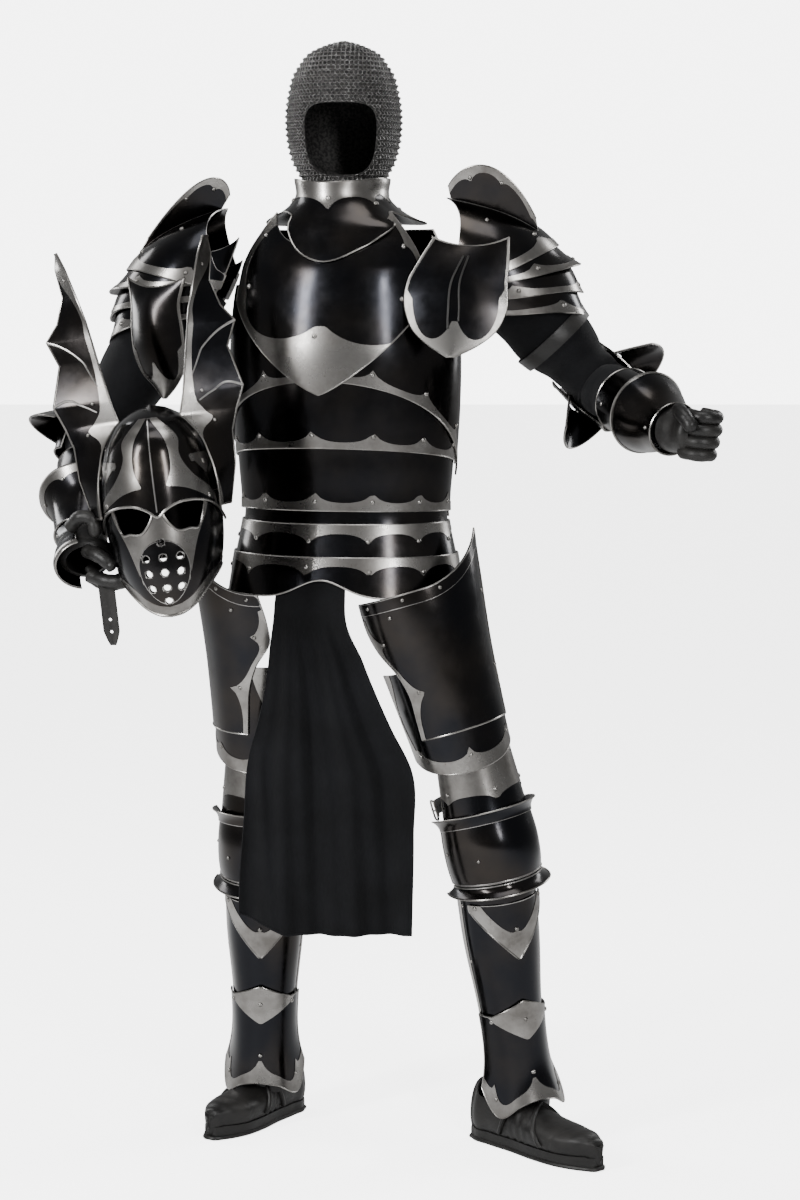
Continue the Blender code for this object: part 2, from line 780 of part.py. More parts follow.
def build_helmet():
    def skull(s, t):
        down = np.interp(t, np.linspace(0, 1, len(SKULL_DOWN)), SKULL_DOWN)
        return HELMET.point(360 * s, down, 0.0)

    columns = 24
    rows = len(SKULL_DOWN) - 1
    points, faces = grid(skull, columns, rows, closed=True)
    kept = [face for (i, j), face in faces.items() if j < SKULL_FRONT_ROWS or 6 <= i < 18]
    crown = tuple(i * (rows + 1) for i in range(columns))
    solid("helmet_skull", points, kept + [crown], PLATE, "black_steel")

    brow_low = through([-90, -50, -8, 0, 8, 50, 90], [0.190, 0.152, 0.158, 0.168, 0.158, 0.152, 0.190])

    def brow(s, t):
        degrees = -90 + 180 * s
        stations = np.arange(len(SKULL_DOWN) - 2)
        down = np.interp(t, stations / stations[-1], SKULL_DOWN[1:-1])
        end = brow_low(degrees)
        down = np.where(t > 0.99, end, np.minimum(down, end - 0.006))
        return HELMET.point(degrees, down, layer(1.25))

    plate("helmet_brow", brow, 12, 4)

    def face(s, t):
        degrees = np.interp(s, np.linspace(0, 1, len(FACE_ACROSS)), FACE_ACROSS)
        down = np.interp(t, np.linspace(0, 1, len(FACE_DOWN)), FACE_DOWN)
        chin = 0.018 * np.clip((down - 0.20) / 0.105, 0, 1) * np.cos(np.radians(degrees)) ** 2
        return HELMET.point(degrees, down + chin, 0.0)

    columns = len(FACE_ACROSS) - 1
    rows = len(FACE_DOWN) - 1
    points, faces = grid(face, columns, rows)
    slits = {(i, 1) for i in (2, 3, 4, 5, 9, 10, 11, 12)}
    vents = {(i, j) for i in (4, 7, 10) for j in (5, 7, 9)} | {(7, 3), (7, 11)}
    kept = [face for cell, face in faces.items() if cell not in slits | vents]
    solid("helmet_face", points, kept, PLATE, "black_steel")


# A wing: height above the eyes, outer edge, inner edge, as distances from the helmet's middle line.
WING_ROWS = [
    (0.422, 0.121, 0.117),
    (0.395, 0.124, 0.106),
    (0.351, 0.117, 0.093),
    (0.310, 0.130, 0.082),
    (0.284, 0.150, 0.077),
    (0.245, 0.134, 0.070),
    (0.181, 0.151, 0.058),
    (0.145, 0.136, 0.048),
    (0.114, 0.126, 0.040),
    (0.062, 0.124, 0.040),
    (0.000, 0.110, 0.040),
]
WING_FORWARD = 0.045


def build_wing(side):
    sign = 1 if side == "l" else -1
    table = np.array(WING_ROWS)

    def surface(s, t):
        place = t * (len(table) - 1)
        knots = np.arange(len(table))
        up = np.interp(place, knots, table[:, 0])
        outer = np.interp(place, knots, table[:, 1])
        inner = np.interp(place, knots, table[:, 2])
        down = 0.165 - up
        inside = np.clip(down, 0.0, None)
        width = smooth(inside, HELMET.rows[:, 0], HELMET.rows[:, 1])
        depth = smooth(inside, HELMET.rows[:, 0], HELMET.rows[:, 2])
        helmet_edge = (width + 0.0086) * np.sqrt(np.clip(1 - (WING_FORWARD / (depth + 0.0086)) ** 2, 0, 1))
        inner = np.where(down > 0.0, np.maximum(inner, helmet_edge), inner)
        outer = np.maximum(outer, inner + 0.006)
        part = s if sign > 0 else 1 - s
        across = inner + part * (outer - inner)
        forward = WING_FORWARD - 0.030 * part - 0.060 * np.clip(up / 0.42, 0, 1) ** 2
        return (
            HELMET.start
            + down[..., None] * HELMET.axis
            + (sign * across)[..., None] * HELMET.side
            + forward[..., None] * HELMET.front
        )

    plate(f"helmet_wing_{side}", surface, 3, 10)


build_helmet()
build_wing("l")
build_wing("r")

# The cloth that hangs from the waist between the legs. Rows: height, left edge, right edge, forward place.
PANEL_ROWS = [
    (-0.575, -0.112, 0.008, -0.128),
    (-0.675, -0.114, 0.040, -0.122),
    (-0.780, -0.130, 0.084, -0.118),
    (-0.850, -0.148, 0.118, -0.118),
    (-0.960, -0.156, 0.122, -0.120),
    (-1.080, -0.164, 0.121, -0.122),
    (-1.125, -0.165, 0.120, -0.122),
]


def panel(s, t):
    """Cloth that starts inside the fauld and falls in soft folds that open towards the hem."""
    table = np.array(PANEL_ROWS)[::-1]
    z = -0.475 - 0.650 * t
    tucked = TORSO.point(-25.0 + 37.0 * s, -z, -0.001)
    left = smooth(z, table[:, 0], table[:, 1])
    right = smooth(z, table[:, 0], table[:, 2])
    forward = smooth(z, table[:, 0], table[:, 3])
    x = left + s * (right - left)
    folds = 0.010 * np.sin(2 * math.pi * (2.5 * s + 0.15)) * np.clip(2 * t, 0, 1)
    hem = 0.035 * np.clip((0.28 - s) / 0.28, 0, 1) * t
    fallen = np.stack([x, forward + folds + 0.05 * (x + 0.03) ** 2, z + hem], axis=-1)
    blend = np.clip((-0.572 - z) / 0.10, 0, 1)[..., None]
    blend = blend * blend * (3 - 2 * blend)
    return tucked + blend * (fallen - tucked)


plate("waist_cloth", panel, 12, 9, thickness=CLOTH, slot="cloth_black")


def strap(s, t):
    """The leather end that hangs below the helmet's rim and closes to a blunt point."""
    width = 0.026 * np.clip((1.04 - t) / 0.25, 0, 1) ** 0.6
    x = -0.368 + 0.012 * t + (s - 0.5) * width
    return np.stack([x, -0.234 + 0.0 * s, -0.522 - 0.108 * t], axis=-1)


plate("helmet_strap", strap, 2, 6, thickness=LEATHER, slot="leather_black")
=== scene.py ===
"""The finished look of a worn suit of blackened plate armour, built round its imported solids.

Metres, +Z up, in the frame of the solids. The suit faces -Y, and "left" is the wearer's left, at +X.
Every plate is a function of two numbers: s runs round the limb and t runs down it, both from 0 to 1.
Bright borders are cut out of the same surface along a scalloped line and stand proud of the black plate.
"""

import math

import bpy
import numpy as np
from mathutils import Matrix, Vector


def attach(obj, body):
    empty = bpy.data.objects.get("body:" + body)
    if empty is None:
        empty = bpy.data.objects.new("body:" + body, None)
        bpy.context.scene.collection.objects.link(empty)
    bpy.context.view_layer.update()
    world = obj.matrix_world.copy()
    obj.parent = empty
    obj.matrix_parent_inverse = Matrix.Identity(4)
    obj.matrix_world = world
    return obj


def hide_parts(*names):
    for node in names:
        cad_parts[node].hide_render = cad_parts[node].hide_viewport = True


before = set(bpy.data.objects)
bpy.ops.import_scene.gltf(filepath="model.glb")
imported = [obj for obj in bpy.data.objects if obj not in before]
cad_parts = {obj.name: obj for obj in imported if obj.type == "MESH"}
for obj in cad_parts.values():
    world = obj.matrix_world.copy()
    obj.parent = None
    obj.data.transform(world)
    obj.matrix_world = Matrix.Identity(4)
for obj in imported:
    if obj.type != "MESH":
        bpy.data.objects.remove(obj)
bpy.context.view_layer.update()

FLOOR = -1.50
SOLE = FLOOR + 0.0006
# How thick the walls are, and how far apart the faces of lapping plates lie.
PLATE = 0.0020
CLOTH = 0.0020
LEATHER = 0.0022
LAYER = 0.0030
# The widest step of a plate's grid, and how far and how thick a bright border stands on the black plate.
CELL = 0.0072
PROUD = 0.0009
BORDER = 0.0012
# The radius of a rolled edge and of a rivet's head.
BEAD = 0.0015
STUD = 0.0040
BIG_STUD = 0.0045
MIDDLE_STUD = 0.0036
SMALL_STUD = 0.0030


def vector(*values):
    return np.array(values, float)


def unit(direction):
    direction = np.asarray(direction, float)
    return direction / np.linalg.norm(direction)


def unit_rows(directions):
    return directions / np.linalg.norm(directions, axis=-1)[..., None]


def distance(first, second):
    return np.linalg.norm(vector(*first) - vector(*second))


def turned(degrees):
    """The same angle between -180 and 180."""
    return (degrees + 180) % 360 - 180


def layer(number):
    return LAYER * number


def smooth(x, xs, ys):
    """A curve through the points (xs, ys) whose slope at each point is that of its neighbours' chord."""
    xs = np.asarray(xs, float)
    ys = np.asarray(ys, float)
    slopes = np.gradient(ys, xs)
    x = np.clip(x, xs[0], xs[-1])
    at = np.clip(np.searchsorted(xs, x) - 1, 0, len(xs) - 2)
    width = xs[at + 1] - xs[at]
    u = (x - xs[at]) / width
    start = (1 + 2 * u) * (1 - u) ** 2 * ys[at] + u * (1 - u) ** 2 * width * slopes[at]
    end = u**2 * (3 - 2 * u) * ys[at + 1] + u**2 * (u - 1) * width * slopes[at + 1]
    return start + end


def smooth_path(x, xs, points):
    """The same curve through points of space, one at each of xs."""
    return np.stack([smooth(x, xs, points[:, axis]) for axis in range(3)], axis=-1)


def spread_out(*reaches):
    """The sum of each (distance, direction), for grids of distances."""
    return sum(far[..., None] * direction for far, direction in reaches)


class Limb:
    """A tube round a straight axis. Rows: distance along it, half width, depth in front, depth behind."""

    def __init__(self, start, axis, front, rows):
        self.start = vector(*start)
        self.axis = unit(axis)
        front = vector(*front)
        self.front = unit(front - self.axis * (front @ self.axis))
        self.side = np.cross(self.front, self.axis)
        self.rows = np.array(rows, float)

    def point(self, degrees, along, lift=0.0):
        """The point at this angle from the front, this far down, raised off the tube by lift."""
        degrees, along, lift = np.broadcast_arrays(degrees, along, lift)
        angle = np.radians(degrees)
        reach = [smooth(along, self.rows[:, 0], self.rows[:, column]) for column in (1, 2, 3)]
        depth = np.where(np.cos(angle) > 0, reach[1], reach[2]) + lift
        return self.place(along, (reach[0] + lift) * np.sin(angle), depth * np.cos(angle))

    def place(self, along, sideways, forward):
        """The point this far down the axis, to the side and to the front."""
        return self.start + spread_out((along, self.axis), (sideways, self.side), (forward, self.front))


def limb_between(top, bottom, front, rows):
    """A tube whose rows are given as parts of the way from top to bottom."""
    length = distance(top, bottom)
    axis = vector(*bottom) - vector(*top)
    return Limb(top, axis, front, [(row[0] * length, *row[1:]) for row in rows])


def lame(limb, arc, top, bottom, lift):
    """The part of a limb within an arc of angles, between two edges that are functions of the angle."""

    def surface(s, t):
        degrees = arc[0] + s * (arc[1] - arc[0])
        high = top(degrees)
        low = bottom(degrees)
        raised = lift(degrees, t) if callable(lift) else lift
        return limb.point(degrees, high + t * (low - high), raised)

    return surface


def level(height):
    return lambda degrees: np.full_like(degrees, height, dtype=float)


def bowed(middle, side, reach=90.0, power=2.0):
    """An edge at height middle in front that has moved to height side at the angle reach."""
    return lambda degrees: middle + (side - middle) * np.abs(degrees / reach) ** power


def through(angles, heights):
    return lambda degrees: smooth(degrees, angles, heights)


def weld(points, triangles, extra=()):
    """Points that share a place become one, and triangles with two equal corners go."""
    grid = np.round(points * 1e5).astype(np.int64)
    _, first, number = np.unique(grid, axis=0, return_index=True, return_inverse=True)
    triangles = number.reshape(-1)[triangles]
    a, b, c = triangles.T
    triangles = triangles[(a != b) & (b != c) & (c != a)]
    used, triangles = np.unique(triangles, return_inverse=True)
    triangles = triangles.reshape(-1, 3)
    first = first[used]
    return (points[first], triangles, *(values[first] for values in extra))


def make(name, points, faces, finish, floats=None, sharp=38.0):
    """An object at the origin with its place in its mesh, smooth but for edges sharper than sharp degrees."""
    material, slot = finish
    mesh = bpy.data.meshes.new(name)
    mesh.from_pydata(points, [], faces)
    mesh.polygons.foreach_set("use_smooth", np.ones(len(mesh.polygons), bool))
    mesh.set_sharp_from_angle(angle=math.radians(sharp))
    for label, values in (floats or {}).items():
        attribute = mesh.attributes.new(label, "FLOAT", "POINT")
        attribute.data.foreach_set("value", values.astype(np.float32))
    mesh.materials.append(material)
    piece = bpy.data.objects.new(name, mesh)
    bpy.context.scene.collection.objects.link(piece)
    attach(piece, "root")
    return piece


def open_edges(triangles):
    """The directed edges that only one triangle has."""
    edges = np.concatenate([triangles[:, [0, 1]], triangles[:, [1, 2]], triangles[:, [2, 0]]])
    count = triangles.max() + 1
    forth = edges[:, 0] * count + edges[:, 1]
    back = edges[:, 1] * count + edges[:, 0]
    return edges[~np.isin(forth, back)]


def rim_distance(points, rim):
    """How far each point lies from the nearest point of the rim, at most 40 mm."""
    if not len(rim):
        return np.full(len(points), 0.04)
    nearest = np.full(len(points), 0.04)
    for part in np.array_split(points[np.unique(rim)], max(1, len(rim) // 60)):
        gap = np.linalg.norm(points[:, None] - part[None], axis=-1).min(axis=1)
        nearest = np.minimum(nearest, gap)
    return nearest


def wall(name, sheet, lift, thickness, finish, marks=None):
    """A closed wall: the sheet raised along its normals by lift, a copy thickness below it, and a rim."""
    marks = marks or {}
    points, triangles, normals, *marked = weld(sheet[0], sheet[1], (sheet[2], *marks.values()))
    normals = unit_rows(normals)
    count = len(points)
    rim = open_edges(triangles)
    a, b = rim.T
    sides = np.concatenate([np.stack([b, a, a + count], axis=1), np.stack([b, a + count, b + count], axis=1)])
    both = np.concatenate([points + lift * normals, points + (lift - thickness) * normals])
    faces = np.concatenate([triangles, triangles[:, ::-1] + count, sides])
    gap = rim_distance(points, rim)
    floats = {label: np.concatenate([values, values]) for label, values in zip(marks, marked)}
    floats["rim"] = np.concatenate([gap, gap])
    return make(name, both, faces, finish, floats)


def cut(sheet, field):
    """The part of a sheet where field is positive. A triangle that the zero line crosses is cut along it:

    the crossing on an edge divides it in the ratio of the field's values at its two ends.
    """
    points, triangles, normals = sheet
    value = np.where(np.abs(field.ravel()) < 1e-7, 1e-7, field.ravel())
    inside = value[triangles] > 0
    count = inside.sum(axis=1)
    all_points = [points]
    all_normals = [normals]
    kept = [triangles[count == 3]]
    total = len(points)
    for number in (1, 2):
        crossed = triangles[count == number]
        alone = inside[count == number] == (number == 1)
        turn = (np.argmax(alone, axis=1)[:, None] + np.arange(3)) % 3
        corner, after, before = np.take_along_axis(crossed, turn, axis=1).T
        new = []
        for other in (after, before):
            part = (value[corner] / (value[corner] - value[other]))[:, None]
            all_points.append(points[corner] + part * (points[other] - points[corner]))
            all_normals.append(normals[corner] + part * (normals[other] - normals[corner]))
            new.append(total + np.arange(len(corner)))
            total += len(corner)
        if number == 1:
            kept.append(np.stack([corner, new[0], new[1]], axis=1))
        else:
            kept.append(np.stack([new[0], after, before], axis=1))
            kept.append(np.stack([new[0], before, new[1]], axis=1))
    return np.concatenate(all_points), np.concatenate(kept), np.concatenate(all_normals)


def tube(path, radius, across, sides=8, ends=True):
    """Points and faces of a round bar along a path, with a radius that may change along it.

    across is any direction that the path never takes.

    Each ring is centre + radius * (cos a * side + sin a * up), with side and up square to the path.
    """
    path = np.asarray(path, float)
    ahead = unit_rows(np.gradient(path, axis=0))
    across = np.broadcast_to(across, path.shape)
    side = unit_rows(across - (across * ahead).sum(axis=1)[:, None] * ahead)
    up = np.cross(ahead, side)
    angle = np.linspace(0, 2 * math.pi, sides, endpoint=False)
    radius = np.broadcast_to(radius, len(path))[:, None, None]
    ring = np.cos(angle)[None, :, None] * side[:, None] + np.sin(angle)[None, :, None] * up[:, None]
    points = (path[:, None] + radius * ring).reshape(-1, 3)
    i, j = np.meshgrid(np.arange(len(path) - 1), np.arange(sides), indexing="ij")
    here = i * sides + j
    beside = i * sides + (j + 1) % sides
    faces = np.stack([here, beside, beside + sides, here + sides], axis=-1).reshape(-1, 4).tolist()
    if ends:
        faces.append(list(range(sides))[::-1])
        last = (len(path) - 1) * sides
        faces.append(list(range(last, last + sides)))
    return points, faces


def join(parts):
    """Several (points, faces) as one."""
    points = []
    faces = []
    total = 0
    for more_points, more_faces in parts:
        points.append(more_points)
        faces.extend([[corner + total for corner in face] for face in more_faces])
        total += len(more_points)
    return np.concatenate(points), faces


def bars(name, parts, finish, **settings):
    """One piece made of several round bars, or of any (points, faces)."""
    points, faces = join(parts)
    return make(name, points, faces, finish, **settings)


DOME_RINGS = ((1.0, -0.35), (0.96, 0.12), (0.70, 0.42), (0.36, 0.56))
DOME_SIDES = 10
STUDS = []


def dome(centre, normal, radius):
    """A rivet's round head: rings of (width, height) in parts of the radius, closed by a top point."""
    helper = vector(0, 0, 1) if abs(normal[2]) < 0.8 else vector(1, 0, 0)
    side = unit(np.cross(helper, normal))
    up = np.cross(normal, side)
    angle = np.linspace(0, 2 * math.pi, DOME_SIDES, endpoint=False)[:, None]
    spokes = np.cos(angle) * side + np.sin(angle) * up
    rings = [centre + radius * (width * spokes + height * normal) for width, height in DOME_RINGS]
    top = centre + radius * 0.60 * normal
    points = np.concatenate([*rings, top[None]])
    faces = []
    for row in range(len(DOME_RINGS) - 1):
        for i in range(DOME_SIDES):
            after = (i + 1) % DOME_SIDES
            low = row * DOME_SIDES
            faces.append([low + i, low + after, low + DOME_SIDES + after, low + DOME_SIDES + i])
    low = (len(DOME_RINGS) - 1) * DOME_SIDES
    faces.extend([[low + i, low + (i + 1) % DOME_SIDES, len(points) - 1] for i in range(DOME_SIDES)])
    return points, faces


class Plate:
    """A sheet of surface(s, t) with, in metres, how far each of its points lies from each of its edges."""

    def __init__(self, name, surface, closed=False, cell=CELL):
        self.name = name
        self.surface = surface
        wide, high = self.size()
        columns = int(np.clip(round(wide / cell), 8, 220))
        rows = int(np.clip(round(high / cell), 4, 120))
        self.s, self.t = self.lattice(columns + 1, rows + 1)
        self.points = surface(self.s, self.t)
        around = np.gradient(self.points, axis=0)
        if closed:
            around[0] = around[-1] = self.points[1] - self.points[-2]
        normals = np.cross(np.gradient(self.points, axis=1), around)
        self.normals = normals / np.maximum(np.linalg.norm(normals, axis=-1), 1e-12)[..., None]
        step = np.linalg.norm(np.diff(self.points, axis=1), axis=-1)
        self.from_top = np.pad(np.cumsum(step, axis=1), ((0, 0), (1, 0)))
        self.from_bottom = self.from_top[:, -1:] - self.from_top
        step = np.linalg.norm(np.diff(self.points, axis=0), axis=-1)
        self.from_start = np.pad(np.cumsum(step, axis=0), ((1, 0), (0, 0)))
        self.from_end = self.from_start[-1:] - self.from_start
        i, j = np.meshgrid(np.arange(columns), np.arange(rows), indexing="ij")
        here = i * (rows + 1) + j
        there = here + rows + 1
        first = np.stack([here, here + 1, there + 1], axis=-1).reshape(-1, 3)
        second = np.stack([here, there + 1, there], axis=-1).reshape(-1, 3)
        triangles = np.concatenate([first, second])
        self.sheet = (self.points.reshape(-1, 3), triangles, self.normals.reshape(-1, 3))

    @staticmethod
    def lattice(columns, rows):
        return np.meshgrid(np.linspace(0, 1, columns), np.linspace(0, 1, rows), indexing="ij")

    def size(self):
        """The longest way across and down the surface."""
        points = self.surface(*self.lattice(25, 13))
        wide = np.linalg.norm(np.diff(points, axis=0), axis=-1).sum(axis=0).max()
        high = np.linalg.norm(np.diff(points, axis=1), axis=-1).sum(axis=1).max()
        return wide, high

    def at(self, s, t):
        """Points on the surface and the outward normals there."""
        s = np.atleast_1d(np.asarray(s, float))
        t = np.atleast_1d(np.asarray(t, float))
        s, t = np.broadcast_arrays(s, t)
        step = 0.004
        around = self.surface(np.minimum(s + step, 1), t) - self.surface(np.maximum(s - step, 0), t)
        down = self.surface(s, np.minimum(t + step, 1)) - self.surface(s, np.maximum(t - step, 0))
        normals = np.cross(down, around)
        return self.surface(s, t), unit_rows(normals)

    def border(self, field, number=""):
        """The bright part of the plate, where field is above 0. It stands proud of the black."""
        name = f"{self.name}_border{number}"
        return wall(name, cut(self.sheet, field), PROUD, BORDER, BRIGHT_STEEL)

    def across(self):
        """How far each point lies from the middle line, in metres, and below 0 on the start's side."""
        return 0.5 * (self.from_start - self.from_end)

    def from_sides(self):
        return np.minimum(self.from_start, self.from_end)

    def bead(self, *edges, radius=BEAD, bright=True):
        """A rolled edge: a round bar along the top, bottom, start or end of the plate."""
        lines = {
            "top": (self.points[:, 0], self.normals[:, 0]),
            "bottom": (self.points[:, -1], self.normals[:, -1]),
            "start": (self.points[0], self.normals[0]),
            "end": (self.points[-1], self.normals[-1]),
        }
        parts = []
        for edge in edges:
            path, normals = lines[edge]
            parts.append(tube(path - 0.0003 * normals, radius, normals, 6))
        return bars(f"{self.name}_rolled_{edges[0]}", parts, BRIGHT_STEEL if bright else BLACK_STEEL)

    def studs(self, places, radius=STUD, lift=PROUD):
        """Rivet heads at these places (s, t)."""
        s, t = np.array(places, float).T
        points, normals = self.at(s, t)
        for point, normal in zip(points, normals):
            STUDS.append(dome(point + lift * normal, normal, radius))


def scallops(at, tips, low, high):
    """A border's width: high at each tip, and low between two tips, along round lobes.

    Between tips the width is high - (high - low) * sqrt(1 - |x| ** 2.4), where x runs from -1 to 1.
    """
    tips = np.asarray(tips, float)
    index = np.clip(np.searchsorted(tips, at) - 1, 0, len(tips) - 2)
    x = np.clip(2 * (at - tips[index]) / (tips[index + 1] - tips[index]) - 1, -1, 1)
    return high - (high - low) * np.sqrt(1 - np.abs(x) ** 2.4)


def outside_lobes(x, y, lobes):
    """Above 0 outside every black lobe, an ellipse of (middle x, middle y, half width, half height).

    The field is (sqrt(x**2 + y**2) - 1) * the smaller half, with x and y in halves: a rough distance.
    """
    field = np.full_like(x, 1.0)
    for middle, height, half_wide, half_high in lobes:
        away = np.sqrt(((x - middle) / half_wide) ** 2 + ((y - height) / half_high) ** 2) - 1
        field = np.minimum(field, away * min(half_wide, half_high))
    return field


def outside_oval(x, y):
    """Above 0 outside a rounded square of half side 1: (x**4 + y**4) ** 0.25 - 1."""
    return (x**4 + y**4) ** 0.25 - 1


def plate(name, surface, closed=False, thickness=PLATE, cell=CELL):
    """A black steel plate in place of the solid of the same name."""
    made = Plate(name, surface, closed, cell)
    body = wall(f"{name}_plate", made.sheet, 0.0, thickness, BLACK_STEEL)
    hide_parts(name)
    return made


class Finish:
    """A procedural material. Its nodes are added one at a time and wired by socket names."""

    def __init__(self, name, colour, metallic, roughness, **sockets):
        self.material = bpy.data.materials.new(name)
        self.material.use_nodes = True
        self.tree = self.material.node_tree
        self.shader = self.tree.nodes["Principled BSDF"]
        self.dress({"Base Color": (*colour, 1.0), "Metallic": metallic, "Roughness": roughness, **sockets})
        self.place = self.tree.nodes.new("ShaderNodeTexCoord").outputs["Object"]

    def feed(self, socket, value):
        """A socket takes a link from another node's socket, or a plain value."""
        if isinstance(value, bpy.types.NodeSocket):
            self.tree.links.new(value, socket)
        else:
            socket.default_value = value

    def set(self, node, sockets):
        for name, value in sockets.items():
            self.feed(node.inputs[name], value)

    def dress(self, sockets):
        self.set(self.shader, sockets)

    def add(self, kind, sockets, **settings):
        node = self.tree.nodes.new("ShaderNode" + kind)
        for name, value in settings.items():
            setattr(node, name, value)
        self.set(node, sockets)
        return node

    def noise(self, scale, detail=3.0, stretch=(1.0, 1.0, 1.0), rough=0.5):
        """Cloudy noise of about 1 / scale metres, stretched along the axes."""
        mapping = self.add("Mapping", {"Vector": self.place, "Scale": stretch})
        node = self.add(
            "TexNoise",
            {"Vector": mapping.outputs["Vector"], "Scale": scale, "Detail": detail, "Roughness": rough},
        )
        return node.outputs["Fac"]

    def spread(self, value, low, high, to_low, to_high):
        """value from low..high becomes to_low..to_high, clamped."""
        node = self.add(
            "MapRange",
            {"Value": value, "From Min": low, "From Max": high, "To Min": to_low, "To Max": to_high},
        )
        return node.outputs["Result"]

    def math(self, operation, first, second=0.0):
        node = self.tree.nodes.new("ShaderNodeMath")
        node.operation = operation
        for socket, value in zip(node.inputs, (first, second)):
            self.feed(socket, value)
        return node.outputs["Value"]

    def blend(self, factor, first, second):
        """Colour that goes from first to second with factor."""
        node = self.tree.nodes.new("ShaderNodeMix")
        node.data_type = "RGBA"
        for index, value in ((0, factor), (6, first), (7, second)):
            self.feed(node.inputs[index], value)
        return node.outputs[2]

    def tint(self, noise, low, high, first, second):
        """Colour that goes from first to second as the noise goes from low to high."""
        return self.blend(self.spread(noise, low, high, 0.0, 1.0), first, second)

    def attribute(self, name):
        return self.add("Attribute", {}, attribute_name=name).outputs["Fac"]

    def bumps(self, *layers):
        """Relief from (height, distance in metres, strength) layers, each on top of the one before."""
        normal = None
        for height, distance, strength in layers:
            sockets = {"Height": height, "Distance": distance, "Strength": strength}
            if normal is not None:
                sockets["Normal"] = normal
            normal = self.add("Bump", sockets).outputs["Normal"]
        self.dress({"Normal": normal})


def black_steel():
    """Blackened, oiled plate: near black, glossy, wavy from the hammer, worn to bare metal at its rims."""
    finish = Finish("blackened_steel", (0.03, 0.03, 0.032), 1.0, 0.2)
    cloud = finish.noise(7.0, 4.0)
    smear = finish.noise(26.0, 5.0, rough=0.65)
    brown = finish.tint(cloud, 0.40, 0.70, (0.016, 0.0165, 0.019, 1), (0.032, 0.028, 0.025, 1))
    grain = finish.noise(420.0, 2.0)
    reach = finish.math("ADD", finish.attribute("rim"), finish.spread(smear, 0.3, 0.7, 0.0, 0.0012))
    worn = finish.spread(reach, 0.0009, 0.0019, 1.0, 0.0)
    colour = finish.blend(worn, brown, (0.34, 0.33, 0.32, 1))
    dull = finish.math("MULTIPLY", worn, 0.12)
    rough = finish.math("ADD", finish.spread(smear, 0.30, 0.75, 0.13, 0.27), dull)
    finish.dress({"Base Color": colour, "Roughness": rough})
    scratch = finish.noise(60.0, 4.0, (1.0, 9.0, 1.4))
    finish.bumps(
        (finish.noise(11.0, 1.0), 0.0030, 0.10),
        (finish.spread(scratch, 0.66, 0.74, 0.0, 1.0), 0.0001, 0.25),
        (grain, 0.0001, 0.08),
    )
    return finish.material


def bright_steel():
    """Bare steel rubbed to a soft shine, with darker oiled patches, fine scratches and small pits."""
    finish = Finish("brushed_steel", (0.5, 0.49, 0.47), 1.0, 0.34)
    patch = finish.noise(14.0, 5.0, rough=0.6)
    tint = finish.tint(patch, 0.36, 0.66, (0.27, 0.262, 0.250, 1), (0.125, 0.118, 0.110, 1))
    pits = finish.spread(finish.noise(170.0, 3.0, rough=0.7), 0.66, 0.74, 0.0, 0.75)
    colour = finish.blend(pits, tint, (0.10, 0.085, 0.07, 1))
    brushed = finish.noise(90.0, 3.0, (1.0, 7.0, 1.2))
    rough = finish.spread(patch, 0.3, 0.7, 0.22, 0.36)
    finish.dress({"Base Color": colour, "Roughness": rough})
    finish.bumps(
        (finish.noise(16.0, 1.0), 0.0020, 0.10),
        (brushed, 0.0002, 0.22),
        (pits, 0.0002, 0.30),
    )
    return finish.material


def mail_steel():
    """Dark oiled ring wire with lighter worn spots."""
    finish = Finish("ring_steel", (0.16, 0.155, 0.15), 1.0, 0.36)
    worn = finish.spread(finish.noise(160.0, 2.0), 0.4, 0.7, 0.0, 1.0)
    finish.dress({"Base Color": finish.blend(worn, (0.085, 0.082, 0.080, 1), (0.27, 0.265, 0.26, 1))})
    finish.bumps((finish.noise(900.0, 2.0), 0.0001, 0.3))
    return finish.material


def mail_painted_shade():
    """Painted shade: a near-black sheet that stands for the second layer of rings, in the shade of the first.
    """
    finish = Finish("ring_steel_painted_shade", (0.03, 0.03, 0.03), 0.6, 0.7)
    spots = finish.noise(240.0, 2.0)
    # Near-black colour: painted shade of the rings behind, with random darker and lighter spots.
    colour = finish.tint(spots, 0.4, 0.6, (0.012, 0.012, 0.012, 1), (0.05, 0.048, 0.046, 1))
    finish.dress({"Base Color": colour})
    finish.bumps((spots, 0.0010, 0.5))
    return finish.material


def leather():
    """Black leather: pebbled grain, creases, and a dull shine that is rubbed brighter in places."""
    finish = Finish("black_leather", (0.018, 0.017, 0.016), 0.0, 0.5, **{"Specular IOR Level": 0.28})
    cloud = finish.noise(20.0, 4.0)
    colour = finish.tint(cloud, 0.35, 0.7, (0.005, 0.0048, 0.0046, 1), (0.014, 0.013, 0.012, 1))
    finish.dress({"Base Color": colour, "Roughness": finish.spread(cloud, 0.3, 0.7, 0.36, 0.58)})
    pebble = finish.add("TexVoronoi", {"Vector": finish.place, "Scale": 620.0})
    creases = finish.noise(95.0, 4.0, (1.0, 1.0, 2.6))
    finish.bumps(
        (creases, 0.0012, 0.35),
        (pebble.outputs["Distance"], 0.0003, 0.30),
    )
    return finish.material


# Threads a metre, and the wool's colour.
THREADS = 900
WOOL = (0.0022, 0.0023, 0.0028)


